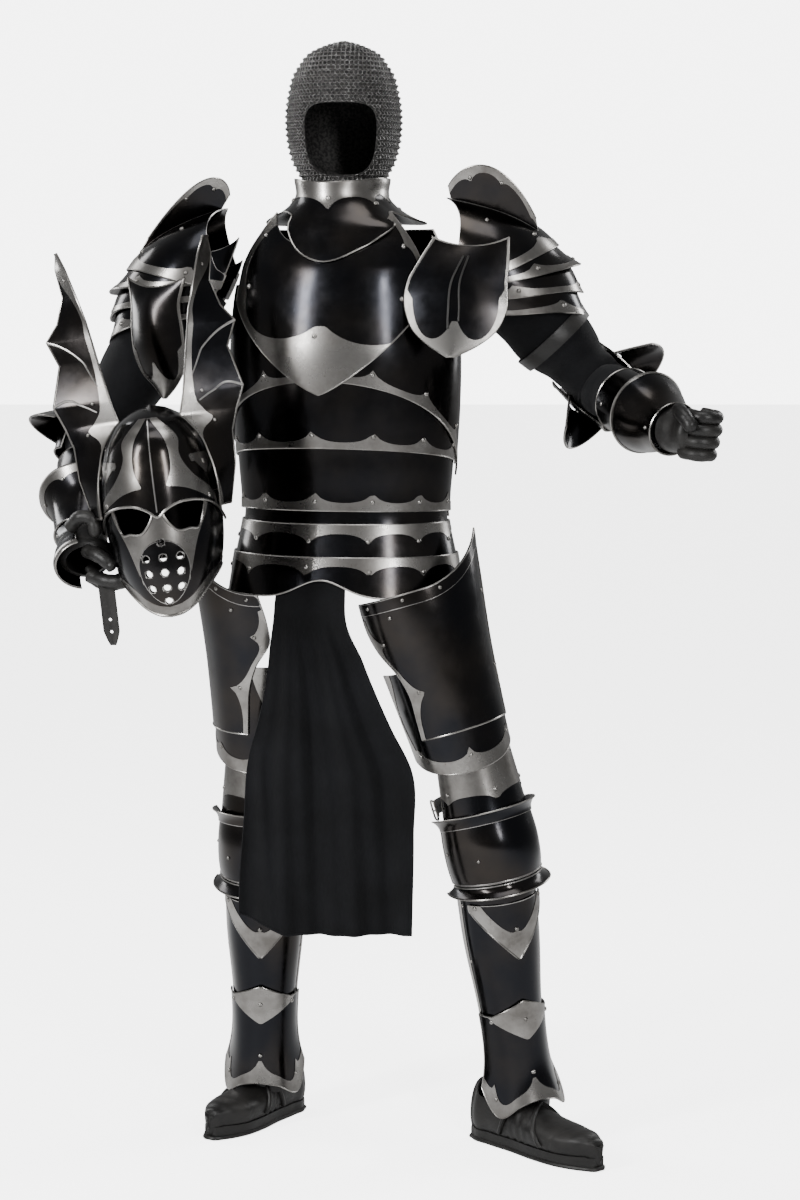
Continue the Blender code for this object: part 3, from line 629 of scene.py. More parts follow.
def black_wool():
    """Black wool: threads crossing along the piece's own two directions, uneven dye and a soft sheen."""
    sockets = {"Sheen Weight": 0.03, "Sheen Roughness": 0.5, "Specular IOR Level": 0.12}
    finish = Finish("black_wool", WOOL, 0.0, 0.85, **sockets)
    turns = 2 * math.pi * THREADS
    across = finish.math("SINE", finish.math("MULTIPLY", finish.attribute("warp"), turns))
    along = finish.math("SINE", finish.math("MULTIPLY", finish.attribute("weft"), turns))
    weave = finish.math("MULTIPLY", across, along)
    light = tuple(2.0 * part for part in WOOL)
    finish.dress({"Base Color": finish.tint(finish.noise(12.0, 4.0), 0.35, 0.7, (*WOOL, 1), (*light, 1))})
    finish.bumps(
        (finish.noise(45.0, 4.0, (1.0, 1.0, 0.5)), 0.0030, 0.30),
        (weave, 0.0003, 0.35),
    )
    return finish.material


# A finish is a material and the record's slot that it stands for.
BLACK_STEEL = (black_steel(), "black_steel")
BRIGHT_STEEL = (bright_steel(), "bright_steel")
MAIL_STEEL = (mail_steel(), "mail")
# The coif's near-black sheet under its rings is painted shade.
MAIL_PAINTED_SHADE = (mail_painted_shade(), "mail")
BLACK_LEATHER = (leather(), "leather_black")
BLACK_CLOTH = (black_wool(), "cloth_black")


# The body of the suit. Heights down the torso are measured from the origin, and grow downward.
FORWARD = (-0.2756, -0.9613, 0.0)
TORSO = Limb(
    (0.010, 0.0, 0.0),
    (0, 0, -1),
    FORWARD,
    [
        # down, half width, depth in front, depth behind
        (-0.08, 0.115, 0.070, 0.085),
        (-0.02, 0.150, 0.100, 0.105),
        (0.06, 0.172, 0.128, 0.118),
        (0.15, 0.182, 0.138, 0.122),
        (0.25, 0.182, 0.134, 0.120),
        (0.35, 0.176, 0.125, 0.116),
        (0.44, 0.172, 0.120, 0.114),
        (0.50, 0.184, 0.130, 0.122),
        (0.58, 0.197, 0.144, 0.132),
    ],
)


FRONT = (-105.0, 105.0)
BACK = (105.25, 254.75)
ROUND = (0.0, 360.0)
HALF_ROUND = (-180.0, 180.0)
CHEST_TIPS = (-118, -90, -60, -30.7, -2.2, 26.3, 56, 86, 118)
BELLY_TIPS = (-124, -96, -66, -37, -4.5, 26.8, 56, 86, 118)
FAULD_TIPS = (-188, -152, -116, -80, -44, -7.6, 24, 54, 84, 118, 152, 188)


def degrees_of(part, arc):
    return arc[0] + part.s * (arc[1] - arc[0])


def lobed_hem(part, arc, tips, low, high):
    """A bright border along the plate's lower edge, with tips that point up between round black lobes."""
    return scallops(degrees_of(part, arc), tips, low, high) - part.from_bottom


def studs_at(part, arc, tips, t):
    """A rivet under each tip that lies within the plate."""
    places = [((tip - arc[0]) / (arc[1] - arc[0]), t) for tip in tips]
    part.studs([(s, down) for s, down in places if 0.02 < s < 0.98])


plate("waist_band", lame(TORSO, ROUND, level(0.395), level(0.465), 0.0), closed=True)

backplate = plate("backplate", lame(TORSO, BACK, level(-0.03), level(0.440), layer(1)))
BACK_TIPS = (75, 105.25, 130.2, 155.1, 180, 204.9, 229.8, 254.75, 285)
backplate.border(
    np.maximum(
        scallops(degrees_of(backplate, BACK), BACK_TIPS, 0.014, 0.034) - backplate.from_top,
        lobed_hem(backplate, BACK, BACK_TIPS, 0.012, 0.030),
    )
)
backplate.bead("top", "bottom", "start", "end")
studs_at(backplate, BACK, BACK_TIPS, 0.05)
studs_at(backplate, BACK, BACK_TIPS, 0.95)

FRONT_PLATES = {
    # plate: (top edge, lower edge in front and at the sides, layers out, tips, border, where its rivets sit)
    "belly_lower": (0.305, (0.424, 0.428), 2, BELLY_TIPS, (0.013, 0.035), 0.88),
    "belly_upper": (0.205, (0.322, 0.345), 3, BELLY_TIPS, (0.010, 0.033), 0.83),
    "chest_lame": (0.060, (0.214, 0.330), 4, CHEST_TIPS, (0.010, 0.032), 0.88),
}
for name, (top, low, number, tips, widths, down) in FRONT_PLATES.items():
    front_plate = plate(name, lame(TORSO, FRONT, level(top), bowed(*low), layer(number)))
    front_plate.border(lobed_hem(front_plate, FRONT, tips, *widths))
    front_plate.bead("bottom")
    studs_at(front_plate, FRONT, tips, down)

# How many degrees to each side the breastplate reaches at its top and below.
HEART_TOP_SIDE = 44.0
HEART_SIDE = 57.0


def heart_place(s, t):
    """Angle and height of a point of the heart, which spreads to the armpits and ends in a point."""
    across = 2 * s - 1
    top = -0.058 * np.abs(across) ** 2.4
    low = 0.236 - 0.150 * np.abs(across) ** 1.25
    spread = HEART_TOP_SIDE + (HEART_SIDE - HEART_TOP_SIDE) * np.sin(math.pi / 2 * np.clip(t * 1.6, 0, 1))
    return across * spread, top + t * (low - top)


def heart(s, t):
    degrees, down = heart_place(s, t)
    return TORSO.point(degrees, down, layer(5.3) - 0.006 * np.clip((0.030 - down) / 0.05, 0, 1))


HEART_LOBES = (
    # a black lobe: its middle as degrees and height down, and half its width and height, in metres
    (-20.0, 0.080, 0.066, 0.066),
    (27.0, 0.082, 0.072, 0.074),
    (-28.0, 0.030, 0.056, 0.072),
    (33.0, 0.030, 0.060, 0.080),
    (2.0, -0.010, 0.098, 0.136),
)
HEART_DEGREE = 0.00252


def heart_field(part):
    """Above 0 outside every black lobe of the heart."""
    degrees, down = heart_place(part.s, part.t)
    lobes = [(middle * HEART_DEGREE, *rest) for middle, *rest in HEART_LOBES]
    return outside_lobes(degrees * HEART_DEGREE, down, lobes)


breastplate = plate("breastplate", heart)
right_strip = scallops(breastplate.t, (-0.2, 0.163, 0.606, 1.1), 0.011, 0.025) - breastplate.from_start
left_strip = scallops(breastplate.t, (-0.1, 0.281, 0.688, 1.1), 0.011, 0.023) - breastplate.from_end
breastplate.border(np.maximum(heart_field(breastplate), np.maximum(right_strip, left_strip)))
breastplate.bead("start", "end", "bottom")
HEART_RIVETS = [(0.05, 0.163), (0.105, 0.606), (0.487, 0.605), (0.87, 0.688), (0.946, 0.281)]
breastplate.studs(HEART_RIVETS, radius=BIG_STUD)

GORGET = Limb(
    (0.006, 0.0, 0.0),
    (0, 0, -1),
    FORWARD,
    [
        (-0.112, 0.078, 0.086, 0.080),
        (-0.080, 0.078, 0.088, 0.084),
        (-0.055, 0.108, 0.099, 0.102),
        (-0.035, 0.149, 0.109, 0.118),
        (-0.015, 0.159, 0.1173, 0.126),
        (0.020, 0.175, 0.1332, 0.138),
        (0.040, 0.181, 0.1402, 0.142),
    ],
)
GORGET_TOP = through(
    [-180, -120, -70, -30, 0, 30, 70, 120, 180],
    [-0.100, -0.110, -0.112, -0.107, -0.105, -0.107, -0.112, -0.110, -0.100],
)
GORGET_LOW = through(
    [-180, -90, -60, -42, -28, -19, 0, 23, 43, 60, 90, 180],
    [-0.042, -0.044, -0.058, -0.057, -0.044, -0.010, 0.022, 0.001, -0.030, -0.056, -0.044, -0.042],
)
GORGET_TIPS = (-252, -196, -140, -84, -66, 2, 55, 84, 140, 196, 252)


def bib_lift(degrees, t):
    """The bib stands off the breastplate's left corner, which it laps."""
    return 0.006 * np.clip(1 - np.abs(turned(degrees) - 42) / 24, 0, 1) * np.clip(2 * t - 0.6, 0, 1)


gorget = plate("gorget", lame(GORGET, HALF_ROUND, GORGET_TOP, GORGET_LOW, bib_lift), closed=True)
gorget.border(scallops(degrees_of(gorget, HALF_ROUND), GORGET_TIPS, 0.026, 0.052) - gorget.from_top)
gorget.bead("top", "bottom")
gorget.studs([(0.317, 0.62), (0.505, 0.20), (0.655, 0.66), (0.83, 0.66), (0.16, 0.66)], radius=BIG_STUD)


def dress_fauld(name, top, low, number, narrow, rivets):
    """A hoop round the hips with a scalloped upper border."""
    hoop = plate(name, lame(TORSO, HALF_ROUND, level(top), low, layer(number)), closed=True)
    hoop.border(scallops(degrees_of(hoop, HALF_ROUND), FAULD_TIPS, narrow, 0.036) - hoop.from_top)
    hoop.bead("top", "bottom")
    studs_at(hoop, HALF_ROUND, FAULD_TIPS, rivets)


def fauld_arch(degrees):
    """The lower edge: an arch in front over the cloth, level behind."""
    return 0.566 - 0.030 * np.exp(-((turned(degrees) / 16.0) ** 2))


dress_fauld("fauld_upper", 0.447, level(0.515), 1, 0.015, 0.40)
dress_fauld("fauld_lower", 0.500, fauld_arch, 2, 0.014, 0.36)


# The legs: tasset, cuisse, knee lame, poleyn, flange, greave with its shin shield, instep and shoe.
THIGH_ROWS = [
    # part of the way down, half width, depth in front, depth behind
    (-0.20, 0.094, 0.100, 0.090),
    (0.00, 0.094, 0.104, 0.090),
    (0.30, 0.084, 0.094, 0.084),
    (0.60, 0.074, 0.080, 0.076),
    (0.85, 0.068, 0.072, 0.068),
    (1.10, 0.066, 0.070, 0.064),
]
KNEE_ROWS = [
    # down from the middle of the knee
    (-0.18, 0.060, 0.060, 0.060),
    (-0.12, 0.065, 0.067, 0.064),
    (-0.06, 0.070, 0.076, 0.064),
    (-0.02, 0.073, 0.084, 0.062),
    (0.02, 0.072, 0.080, 0.060),
    (0.06, 0.066, 0.068, 0.060),
    (0.10, 0.064, 0.066, 0.062),
]
SHIN_ROWS = [
    (-0.05, 0.0706, 0.0716, 0.0711),
    (0.10, 0.0670, 0.0670, 0.072),
    (0.35, 0.064, 0.062, 0.072),
    (0.65, 0.053, 0.056, 0.056),
    (0.85, 0.050, 0.056, 0.050),
    (1.10, 0.056, 0.066, 0.056),
]
CALF_EXTRA = {"l": 0.0, "r": 0.0022}
SHOE_ROWS = [
    # part of the way from heel to toe, half width, height above the middle, height below it
    (-0.012, 0.001, 0.002, 0.002),
    (0.00, 0.016, 0.036, 0.030),
    (0.05, 0.030, 0.060, 0.040),
    (0.20, 0.036, 0.074, 0.042),
    (0.40, 0.038, 0.046, 0.042),
    (0.60, 0.044, 0.026, 0.042),
    (0.80, 0.040, 0.018, 0.042),
    (0.94, 0.022, 0.012, 0.038),
    (1.00, 0.008, -0.006, 0.034),
    (1.012, 0.001, -0.022, 0.023),
]
SHOE_MIDDLE = 0.044


class OneSide:
    """What a left and a right limb share. Places are written for the left one and mirrored for the right."""

    def __init__(self, side):
        self.side = side
        self.sign = 1 if side == "l" else -1

    def mirror(self, s):
        return s if self.sign > 0 else 1 - s

    def places(self, *places):
        return [(self.mirror(s), t) for s, t in places]


class Leg(OneSide):
    """The places of one leg: hip, knee, ankle, heel and toe, and the way the knee faces."""

    def __init__(self, side, hip, thigh_end, knee, ankle, heel, toe, thigh_front, shin_front):
        super().__init__(side)
        self.tasset_arc = (-75, 75) if side == "l" else (-110, 4)
        self.cuisse_arc = (-90, 90) if side == "l" else (-125, 18)
        self.thigh = limb_between(hip, thigh_end, thigh_front, THIGH_ROWS)
        middle = unit(vector(*ankle) - vector(*hip))
        self.knee = Limb(knee, middle, shin_front, KNEE_ROWS)
        top_row, *other_rows = SHIN_ROWS
        fuller = (top_row[0], *(reach + CALF_EXTRA[side] for reach in top_row[1:]))
        self.shin = limb_between(knee, ankle, shin_front, [fuller, *other_rows])
        self.foot = limb_between(
            (heel[0], heel[1], FLOOR + SHOE_MIDDLE),
            (toe[0], toe[1], FLOOR + SHOE_MIDDLE),
            (0, 0, 1),
            SHOE_ROWS,
        )
        self.shin_length = distance(ankle, knee)
        self.foot_length = distance(toe, heel)


LEFT_LEG = Leg(
    "l",
    hip=(0.125, -0.0545, -0.560),
    thigh_end=(0.255, -0.0755, -0.992),
    knee=(0.252, -0.070, -0.992),
    ankle=(0.302, -0.030, -1.4082),
    heel=(0.235, 0.015),
    toe=(0.426, -0.200),
    thigh_front=(0.15, -1.0, 0.0),
    shin_front=(0.38, -0.92, 0.0),
)
RIGHT_LEG = Leg(
    "r",
    hip=(-0.130, 0.0287, -0.560),
    thigh_end=(-0.130, 0.0693, -1.015),
    knee=(-0.130, 0.058, -1.015),
    ankle=(-0.134, 0.120, -1.4105),
    heel=(-0.085, 0.190),
    toe=(-0.222, -0.020),
    thigh_front=(-0.10, -1.0, 0.0),
    shin_front=(-0.08, -1.0, 0.0),
)
TASSET_DOWN = (0.0, 0.22, 0.34, 0.50, 0.68, 0.86, 1.0)
TASSET_INNER = {
    # how many degrees the inner edge is cut back at each part of the way down
    "l": (0.0, -3.0, 4.0, 20.0, 28.0, 26.0, 24.0),
    "r": (0.0, -9.0, -11.0, 2.0, 10.0, 12.0, 13.0),
}
TASSET_TIPS = (-0.18, 0.30, 0.68, 1.25)
TASSET_BAND = 0.020
TASSET_RIVETS = (
    (0.10, 0.035),
    (0.36, 0.035),
    (0.60, 0.035),
    (0.26, 0.13),
    (0.115, 0.30),
    (0.10, 0.67),
    (0.955, 0.30),
    (0.955, 0.72),
)
# How far round from the front the greave's seams and the shin shield's ends lie.
SEAM_DEGREES = 92.0
SHIELD_DEGREES = 67.5
# How far below the ankle the instep's lower edge lies: it arches over the foot and dips at the sides.
INSTEP_ARCH = through([-25, 0, 25, 60, 90], [0.002, -0.004, 0.002, 0.022, -0.020])
# Where the tips of a leg plate's border point, as parts of the way round it.
CUISSE_TIPS = (-0.35, 0.13, 0.50, 0.87, 1.35)
KNEE_TIPS = (-0.26, 0.10, 0.50, 0.90, 1.26)
SHIELD_TIPS = (-0.40, 0.06, 0.50, 0.94, 1.40)


def tasset_surface(leg):
    """The thigh's outer plate: its top rises to a point at the hip, its inner edge is cut to two points."""
    sign = leg.sign
    outer, inner = leg.tasset_arc if sign < 0 else leg.tasset_arc[::-1]

    def surface(s, t):
        edge = inner + sign * smooth(t, TASSET_DOWN, TASSET_INNER[leg.side])
        degrees = edge + leg.mirror(s) * (outer - edge)
        outward = np.clip(sign * degrees / 80.0, 0, 1)
        high = -0.004 - 0.076 * outward**2
        raised = layer(3) + 0.022 * outward**2 * (1 - t) ** 3
        return leg.thigh.point(degrees, high + t * (0.236 - high), raised)

    return surface


def dress_thigh(leg):
    side = leg.side
    tasset = plate(f"tasset_{side}", tasset_surface(leg))
    edges = (tasset.from_start, tasset.from_end)
    inside, outside = edges if leg.sign > 0 else edges[::-1]
    inner_border = scallops(tasset.t, TASSET_TIPS, 0.008, 0.038) - inside
    inner_border = np.where(tasset.t < 0.10, -0.01, inner_border)
    outer_border = scallops(tasset.t, (-0.10, 0.30, 0.72, 1.20), 0.003, 0.016) - outside
    tasset.border(np.maximum(inner_border, outer_border))
    band = cut(tasset.sheet, TASSET_BAND - tasset.from_top)
    wall(f"tasset_{side}_band", band, PROUD + 0.0006, 0.0018, BLACK_STEEL)
    tasset.bead("start", "end", "bottom")
    tasset.bead("top", radius=0.0018)
    tasset.studs(leg.places(*TASSET_RIVETS), radius=MIDDLE_STUD)

    cuisse_wall = lame(leg.thigh, leg.cuisse_arc, level(0.120), bowed(0.305, 0.270), layer(2))
    cuisse = plate(f"cuisse_{side}", cuisse_wall)
    hem = scallops(cuisse.s, CUISSE_TIPS, 0.021, 0.040) - cuisse.from_bottom
    ends = 0.022 + 0.012 * np.cos(2 * math.pi * cuisse.t) - cuisse.from_sides()
    cuisse.border(np.maximum(hem, ends))
    cuisse.bead("bottom", "start", "end")
    cuisse.studs([(0.13, 0.86), (0.50, 0.86), (0.87, 0.86)], radius=MIDDLE_STUD)


def dress_knee(leg):
    side = leg.side
    arc = (-90, 90)
    knee_lame = plate(f"knee_lame_{side}", lame(leg.knee, arc, level(-0.165), level(-0.062), layer(1)))
    knee_lame.border(scallops(knee_lame.s, KNEE_TIPS, 0.056, 0.074) - knee_lame.from_top)
    knee_lame.bead("top", "start", "end")
    knee_lame.studs([(0.10, 0.50), (0.50, 0.50), (0.90, 0.50)])

    arc = (-105, 105)
    poleyn = plate(f"poleyn_{side}", lame(leg.knee, arc, bowed(-0.076, -0.066), level(0.040), layer(2)))
    poleyn.bead("start", "end")

    def collar_lift(degrees, t):
        return layer(2.6) + 0.011 * (1 - t) ** 2

    rim = lame(leg.knee, arc, bowed(-0.082, -0.072), bowed(-0.062, -0.052), collar_lift)
    collar = Plate(f"poleyn_{side}_collar", rim)
    wall(collar.name, collar.sheet, 0.0, 0.0016, BLACK_STEEL)
    collar.bead("top", radius=0.0014)
    poleyn.studs([(0.30, 0.62), (0.93, 0.50), (0.07, 0.50)], radius=SMALL_STUD)

    def flange_lift(degrees, t):
        return layer(0.8) + 0.018 * np.clip((t - 0.5) / 0.5, 0, 1) ** 2

    flange_wall = lame(leg.knee, arc, level(0.022), bowed(0.062, 0.056), flange_lift)
    plate(f"poleyn_flange_{side}", flange_wall).bead("bottom", radius=0.0017)
    ridge = Plate(f"poleyn_{side}_ridge", lame(leg.knee, arc, level(0.038), level(0.044), layer(2.0)))
    for edge in ("top", "bottom"):
        ridge.bead(edge, radius=0.0016, bright=False)


def dress_shin(leg):
    side = leg.side
    low = leg.shin_length
    greave_wall = lame(leg.shin, HALF_ROUND, level(0.028), level(low - 0.015), 0.0)
    greave = plate(f"greave_{side}", greave_wall, closed=True)
    greave.bead("bottom", radius=0.0020)
    for number, degrees in enumerate((-SEAM_DEGREES, SEAM_DEGREES)):
        path = leg.shin.point(degrees, np.linspace(0.030, low - 0.020, 60), 0.0004)
        bars(f"greave_{side}_seam_{number}", [tube(path, 0.0022, leg.shin.front, 6)], BLACK_STEEL)
    greave.studs([(s, t) for s in (0.26, 0.74) for t in (0.14, 0.40, 0.66)], radius=SMALL_STUD, lift=0.0)

    shield_low = bowed(0.175, 0.085, SHIELD_DEGREES, 1.0)
    shield_wall = lame(leg.shin, (-SHIELD_DEGREES, SHIELD_DEGREES), level(0.075), shield_low, layer(1.1))
    shield = plate(f"shin_shield_{side}", shield_wall)
    hem = scallops(shield.s, SHIELD_TIPS, 0.032, 0.058) - shield.from_bottom
    ends = 0.012 - shield.from_sides()
    shield.border(np.maximum(hem, ends))
    shield.bead("bottom", "start", "end", radius=0.0020)
    shield.studs([(0.08, 0.20), (0.50, 0.46), (0.92, 0.20)])

    def instep_top(degrees):
        return low - 0.148 - 0.026 * np.clip(1 - np.abs(degrees) / 58, 0, 1)

    def instep_low(degrees):
        return low + INSTEP_ARCH(np.abs(degrees))

    def instep_lift(degrees, t):
        return layer(1.5) + 0.012 * t**3

    instep = plate(f"instep_{side}", lame(leg.shin, (-90, 90), instep_top, instep_low, instep_lift))
    across = np.abs(2 * instep.s - 1)
    diamond = np.clip(0.070 * (1 - across / 0.74), 0, None) - instep.from_top - 0.001
    hem = scallops(instep.s, CUISSE_TIPS, 0.017, 0.052) - instep.from_bottom
    instep.border(np.maximum(diamond, hem))
    instep.bead("top", "bottom", "start", "end")
    instep.studs([(0.50, 0.19), (0.17, 0.05), (0.83, 0.05), (0.50, 0.73), (0.145, 0.85), (0.855, 0.85)])


for leg in (LEFT_LEG, RIGHT_LEG):
    dress_thigh(leg)
    dress_knee(leg)
    dress_shin(leg)


# The shoulders and arms. Angles round an arm are counted from the front over the top to the back.
PAULDRON_ROWS = [
    # down from the shoulder, half width, depth in front, depth behind
    (-0.095, 0.022, 0.034, 0.034),
    (-0.055, 0.052, 0.066, 0.062),
    (0.00, 0.086, 0.098, 0.084),
    (0.058, 0.106, 0.110, 0.094),
    (0.10, 0.108, 0.108, 0.094),
    (0.143, 0.104, 0.101, 0.090),
    (0.18, 0.087, 0.087, 0.083),
    (0.22, 0.071, 0.072, 0.072),
]
LAMES = {
    # lame: (reach down the arm, how far it is cut back in front and behind, width, layers in, flare, tips)
    "arm_lame_1": (0.143, 0.075, 0.066, -1.3, 0.013, (-0.15, 0.12, 0.31, 0.56, 0.85, 1.15)),
    "arm_lame_2": (0.180, 0.078, 0.066, -2.75, 0.006, (-0.15, 0.20, 0.50, 0.80, 1.15)),
    "arm_lame_3": (0.214, 0.076, 0.066, -4.15, 0.002, (-0.10, 0.325, 0.68, 1.10)),
}
PAULDRON_TIPS = (-0.12, 0.15, 0.42, 0.70, 0.96, 1.2)
HAUTE_TIPS = (-0.12, 0.25, 0.60, 0.92, 1.2)
CUFF_TIPS = (-0.10, 0.08, 0.25, 0.42, 0.58, 0.75, 0.92, 1.10)
# How high each haute stands, and how far it leans towards the wearer's left for each metre it rises.
HAUTE_HIGH = {"l": 0.074, "r": 0.088}
HAUTE_LEAN = {"l": -0.20, "r": 0.60}
SLEEVE_FULL = {"l": 0.0668, "r": 0.0648}
SLEEVE_END = {"l": 0.0324, "r": 0.0330}
FOREARM_ROWS = [
    (0.00, 0.050, 0.050, 0.050),
    (0.25, 0.050, 0.050, 0.050),
    (0.50, 0.049, 0.050, 0.049),
    (0.75, 0.043, 0.045, 0.043),
    (1.00, 0.038, 0.040, 0.038),
    (1.30, 0.036, 0.038, 0.036),
]
CUFF_FLARE = {"l": 1.0, "r": 1.28}
CUFF_BORDER = {"l": (0.004, 0.007), "r": (0.012, 0.026)}
CUFF_RIVETS = {"l": ((0.25, 0.85), (0.75, 0.85)), "r": [(s, 0.16) for s in CUFF_TIPS[1:-1]]}
CUFF_ROWS = [
    (0.60, 0.066, 0.070, 0.066),
    (0.75, 0.056, 0.058, 0.056),
    (0.90, 0.0435, 0.0455, 0.0435),
    (1.00, 0.040, 0.041, 0.040),
    (1.10, 0.040, 0.041, 0.040),
]
COUTER_ROWS = [
    (-0.085, 0.0495, 0.038, 0.05),
    (-0.045, 0.0537, 0.051, 0.05),
    (0.00, 0.0570, 0.0628, 0.05),
    (0.045, 0.0534, 0.048, 0.05),
    (0.085, 0.048, 0.036, 0.05),
]
HAND_ROWS = [
    (0.00, 0.038, 0.038, 0.038),
    (0.25, 0.037, 0.037, 0.037),
    (0.55, 0.045, 0.039, 0.039),
    (0.80, 0.045, 0.039, 0.039),
    (0.95, 0.034, 0.030, 0.030),
    (1.00, 0.018, 0.016, 0.016),
]


class Arm(OneSide):
    """The places of one arm: shoulder, elbow, wrist and the end of the hand."""

    def __init__(self, side, shoulder, elbow, wrist, hand, front):
        super().__init__(side)
        self.upper = limb_between(shoulder, elbow, front, [(0, 0.05, 0.05, 0.05), (1, 0.05, 0.05, 0.05)])
        self.cap = Limb(shoulder, self.upper.axis, front, PAULDRON_ROWS)
        self.fore = limb_between(elbow, wrist, (0, 0, 1), FOREARM_ROWS)
        rim, *rest = CUFF_ROWS
        wide_rim = (rim[0], *(reach * CUFF_FLARE[side] for reach in rim[1:]))
        self.cuff = limb_between(elbow, wrist, (0, 0, 1), [wide_rim, *rest])
        self.palm = limb_between(wrist, hand, (0, 0, 1), HAND_ROWS)
        self.fore_length = distance(wrist, elbow)
        self.hand_length = distance(hand, wrist)
        outside = self.upper.axis - self.fore.axis
        self.couter = Limb(elbow, self.upper.axis + self.fore.axis, outside, COUTER_ROWS)
        self.over = (-40.0, 200.0) if side == "l" else (-200.0, 40.0)

    def from_top(self, degrees):
        """How far round from the top of the arm, where 1 is the front or the back."""
        return np.abs(degrees - 90.0 * self.sign) / 90.0


def dress_shoulder(arm):
    side = arm.side

    def pauldron_top(degrees):
        return -0.086 + 0.060 * np.clip(arm.from_top(degrees), 0, 1.3) ** 1.5

    def pauldron_low(degrees):
        return 0.096 - 0.040 * arm.from_top(degrees) ** 1.5

    pauldron = plate(f"pauldron_{side}", lame(arm.cap, arm.over, pauldron_top, pauldron_low, 0.0))
    hem = scallops(arm.mirror(pauldron.s), PAULDRON_TIPS, 0.014, 0.036)
    pauldron.border(hem - pauldron.from_bottom)
    pauldron.bead("bottom", "start", "end")
    pauldron.studs(arm.places((0.35, 0.325), (0.425, 0.78), (0.15, 0.78), (0.70, 0.78), (0.15, 0.30)))

    for name, (reach, cut_off, width, number, flare, tips) in LAMES.items():

        def low(degrees, reach=reach, cut_off=cut_off):
            return reach - cut_off * arm.from_top(degrees) ** 1.6

        def high(degrees, low=low, width=width):
            return low(degrees) - width

        def lift(degrees, t, number=number, flare=flare):
            return layer(number) + flare * t**3 * np.clip(1 - arm.from_top(degrees), 0, 1)

        arm_lame = plate(f"{name}_{side}", lame(arm.cap, arm.over, high, low, lift))
        arm_lame.border(scallops(arm.mirror(arm_lame.s), tips, 0.010, 0.030) - arm_lame.from_bottom)
        arm_lame.bead("bottom", "start", "end")
        arm_lame.studs(arm.places(*((s, 0.80) for s in tips[1:-1])))

    def haute_surface(s, t):
        """A crest that stands on the pauldron beside the neck, highest in its middle."""
        part = arm.mirror(s)
        base = arm.cap.point(arm.sign * 72.0, -0.080 + 0.135 * part, -0.0001)
        height = HAUTE_HIGH[side] * np.sin(math.pi * np.clip(0.04 + 0.92 * part, 0, 1)) ** 0.6
        rise = ((1 - t) * height)[..., None]
        return base + rise * unit(vector(HAUTE_LEAN[side], -0.25, 1.0))

    haute = plate(f"haute_{side}", haute_surface, cell=0.0037)
    haute.border(scallops(arm.mirror(haute.s), HAUTE_TIPS, 0.012, 0.027) - haute.from_top)
    haute.bead("top")
    haute.studs(arm.places((0.25, 0.27), (0.60, 0.27)), radius=MIDDLE_STUD)


def dress_elbow(arm):
    side = arm.side
    couter_wall = lame(arm.couter, (-105, 105), level(-0.060), level(0.060), 0.0)
    couter = plate(f"couter_{side}", couter_wall, cell=0.004)
    couter.bead("top", "bottom", "start", "end")
    couter.studs([(0.10, 0.5), (0.90, 0.5)], lift=0.0)

    def wing_lift(degrees, t):
        spread = np.sin(np.radians(np.clip(np.abs(degrees), 0, 90))) ** 3
        return layer(1.2) + 0.055 * spread * t

    wing_surface = lame(arm.couter, (-120, 120), level(-0.012), bowed(0.030, 0.034), wing_lift)
    wing = plate(f"couter_wing_{side}", wing_surface, cell=0.0037)
    wing.border(0.007 - wing.from_bottom)
    wing.bead("bottom", "start", "end")
    ribs = []
    for s in (0.12, 0.20, 0.28, 0.72, 0.80, 0.88):
        t = np.linspace(0.05, 0.98, 16)
        points, normals = wing.at(np.full(16, s), t)
        ribs.append(tube(points + 0.0004 * normals, 0.0013, normals, 6))
    bars(f"couter_wing_{side}_ribs", ribs, BLACK_STEEL)


def dress_forearm(arm):
    side = arm.side
    length = arm.fore_length
    vambrace_wall = lame(arm.fore, ROUND, level(0.36 * length), level(0.90 * length), layer(1.25))
    vambrace = plate(f"vambrace_{side}", vambrace_wall, closed=True)
    vambrace.bead("top", "bottom")
    vambrace.studs([(0.25, 0.12), (0.75, 0.12), (0.69, 0.60), (0.20, 0.60)], radius=0.0032, lift=0.0)
    cuff_wall = lame(arm.cuff, ROUND, level(0.66 * length), level(1.02 * length), layer(1))
    cuff = plate(f"gauntlet_cuff_{side}", cuff_wall, closed=True, cell=0.004)
    cuff.border(scallops(cuff.s, CUFF_TIPS, *CUFF_BORDER[side]) - cuff.from_top)
    cuff.bead("top", radius=0.0020)
    cuff.bead("bottom")
    cuff.studs(CUFF_RIVETS[side], radius=SMALL_STUD)


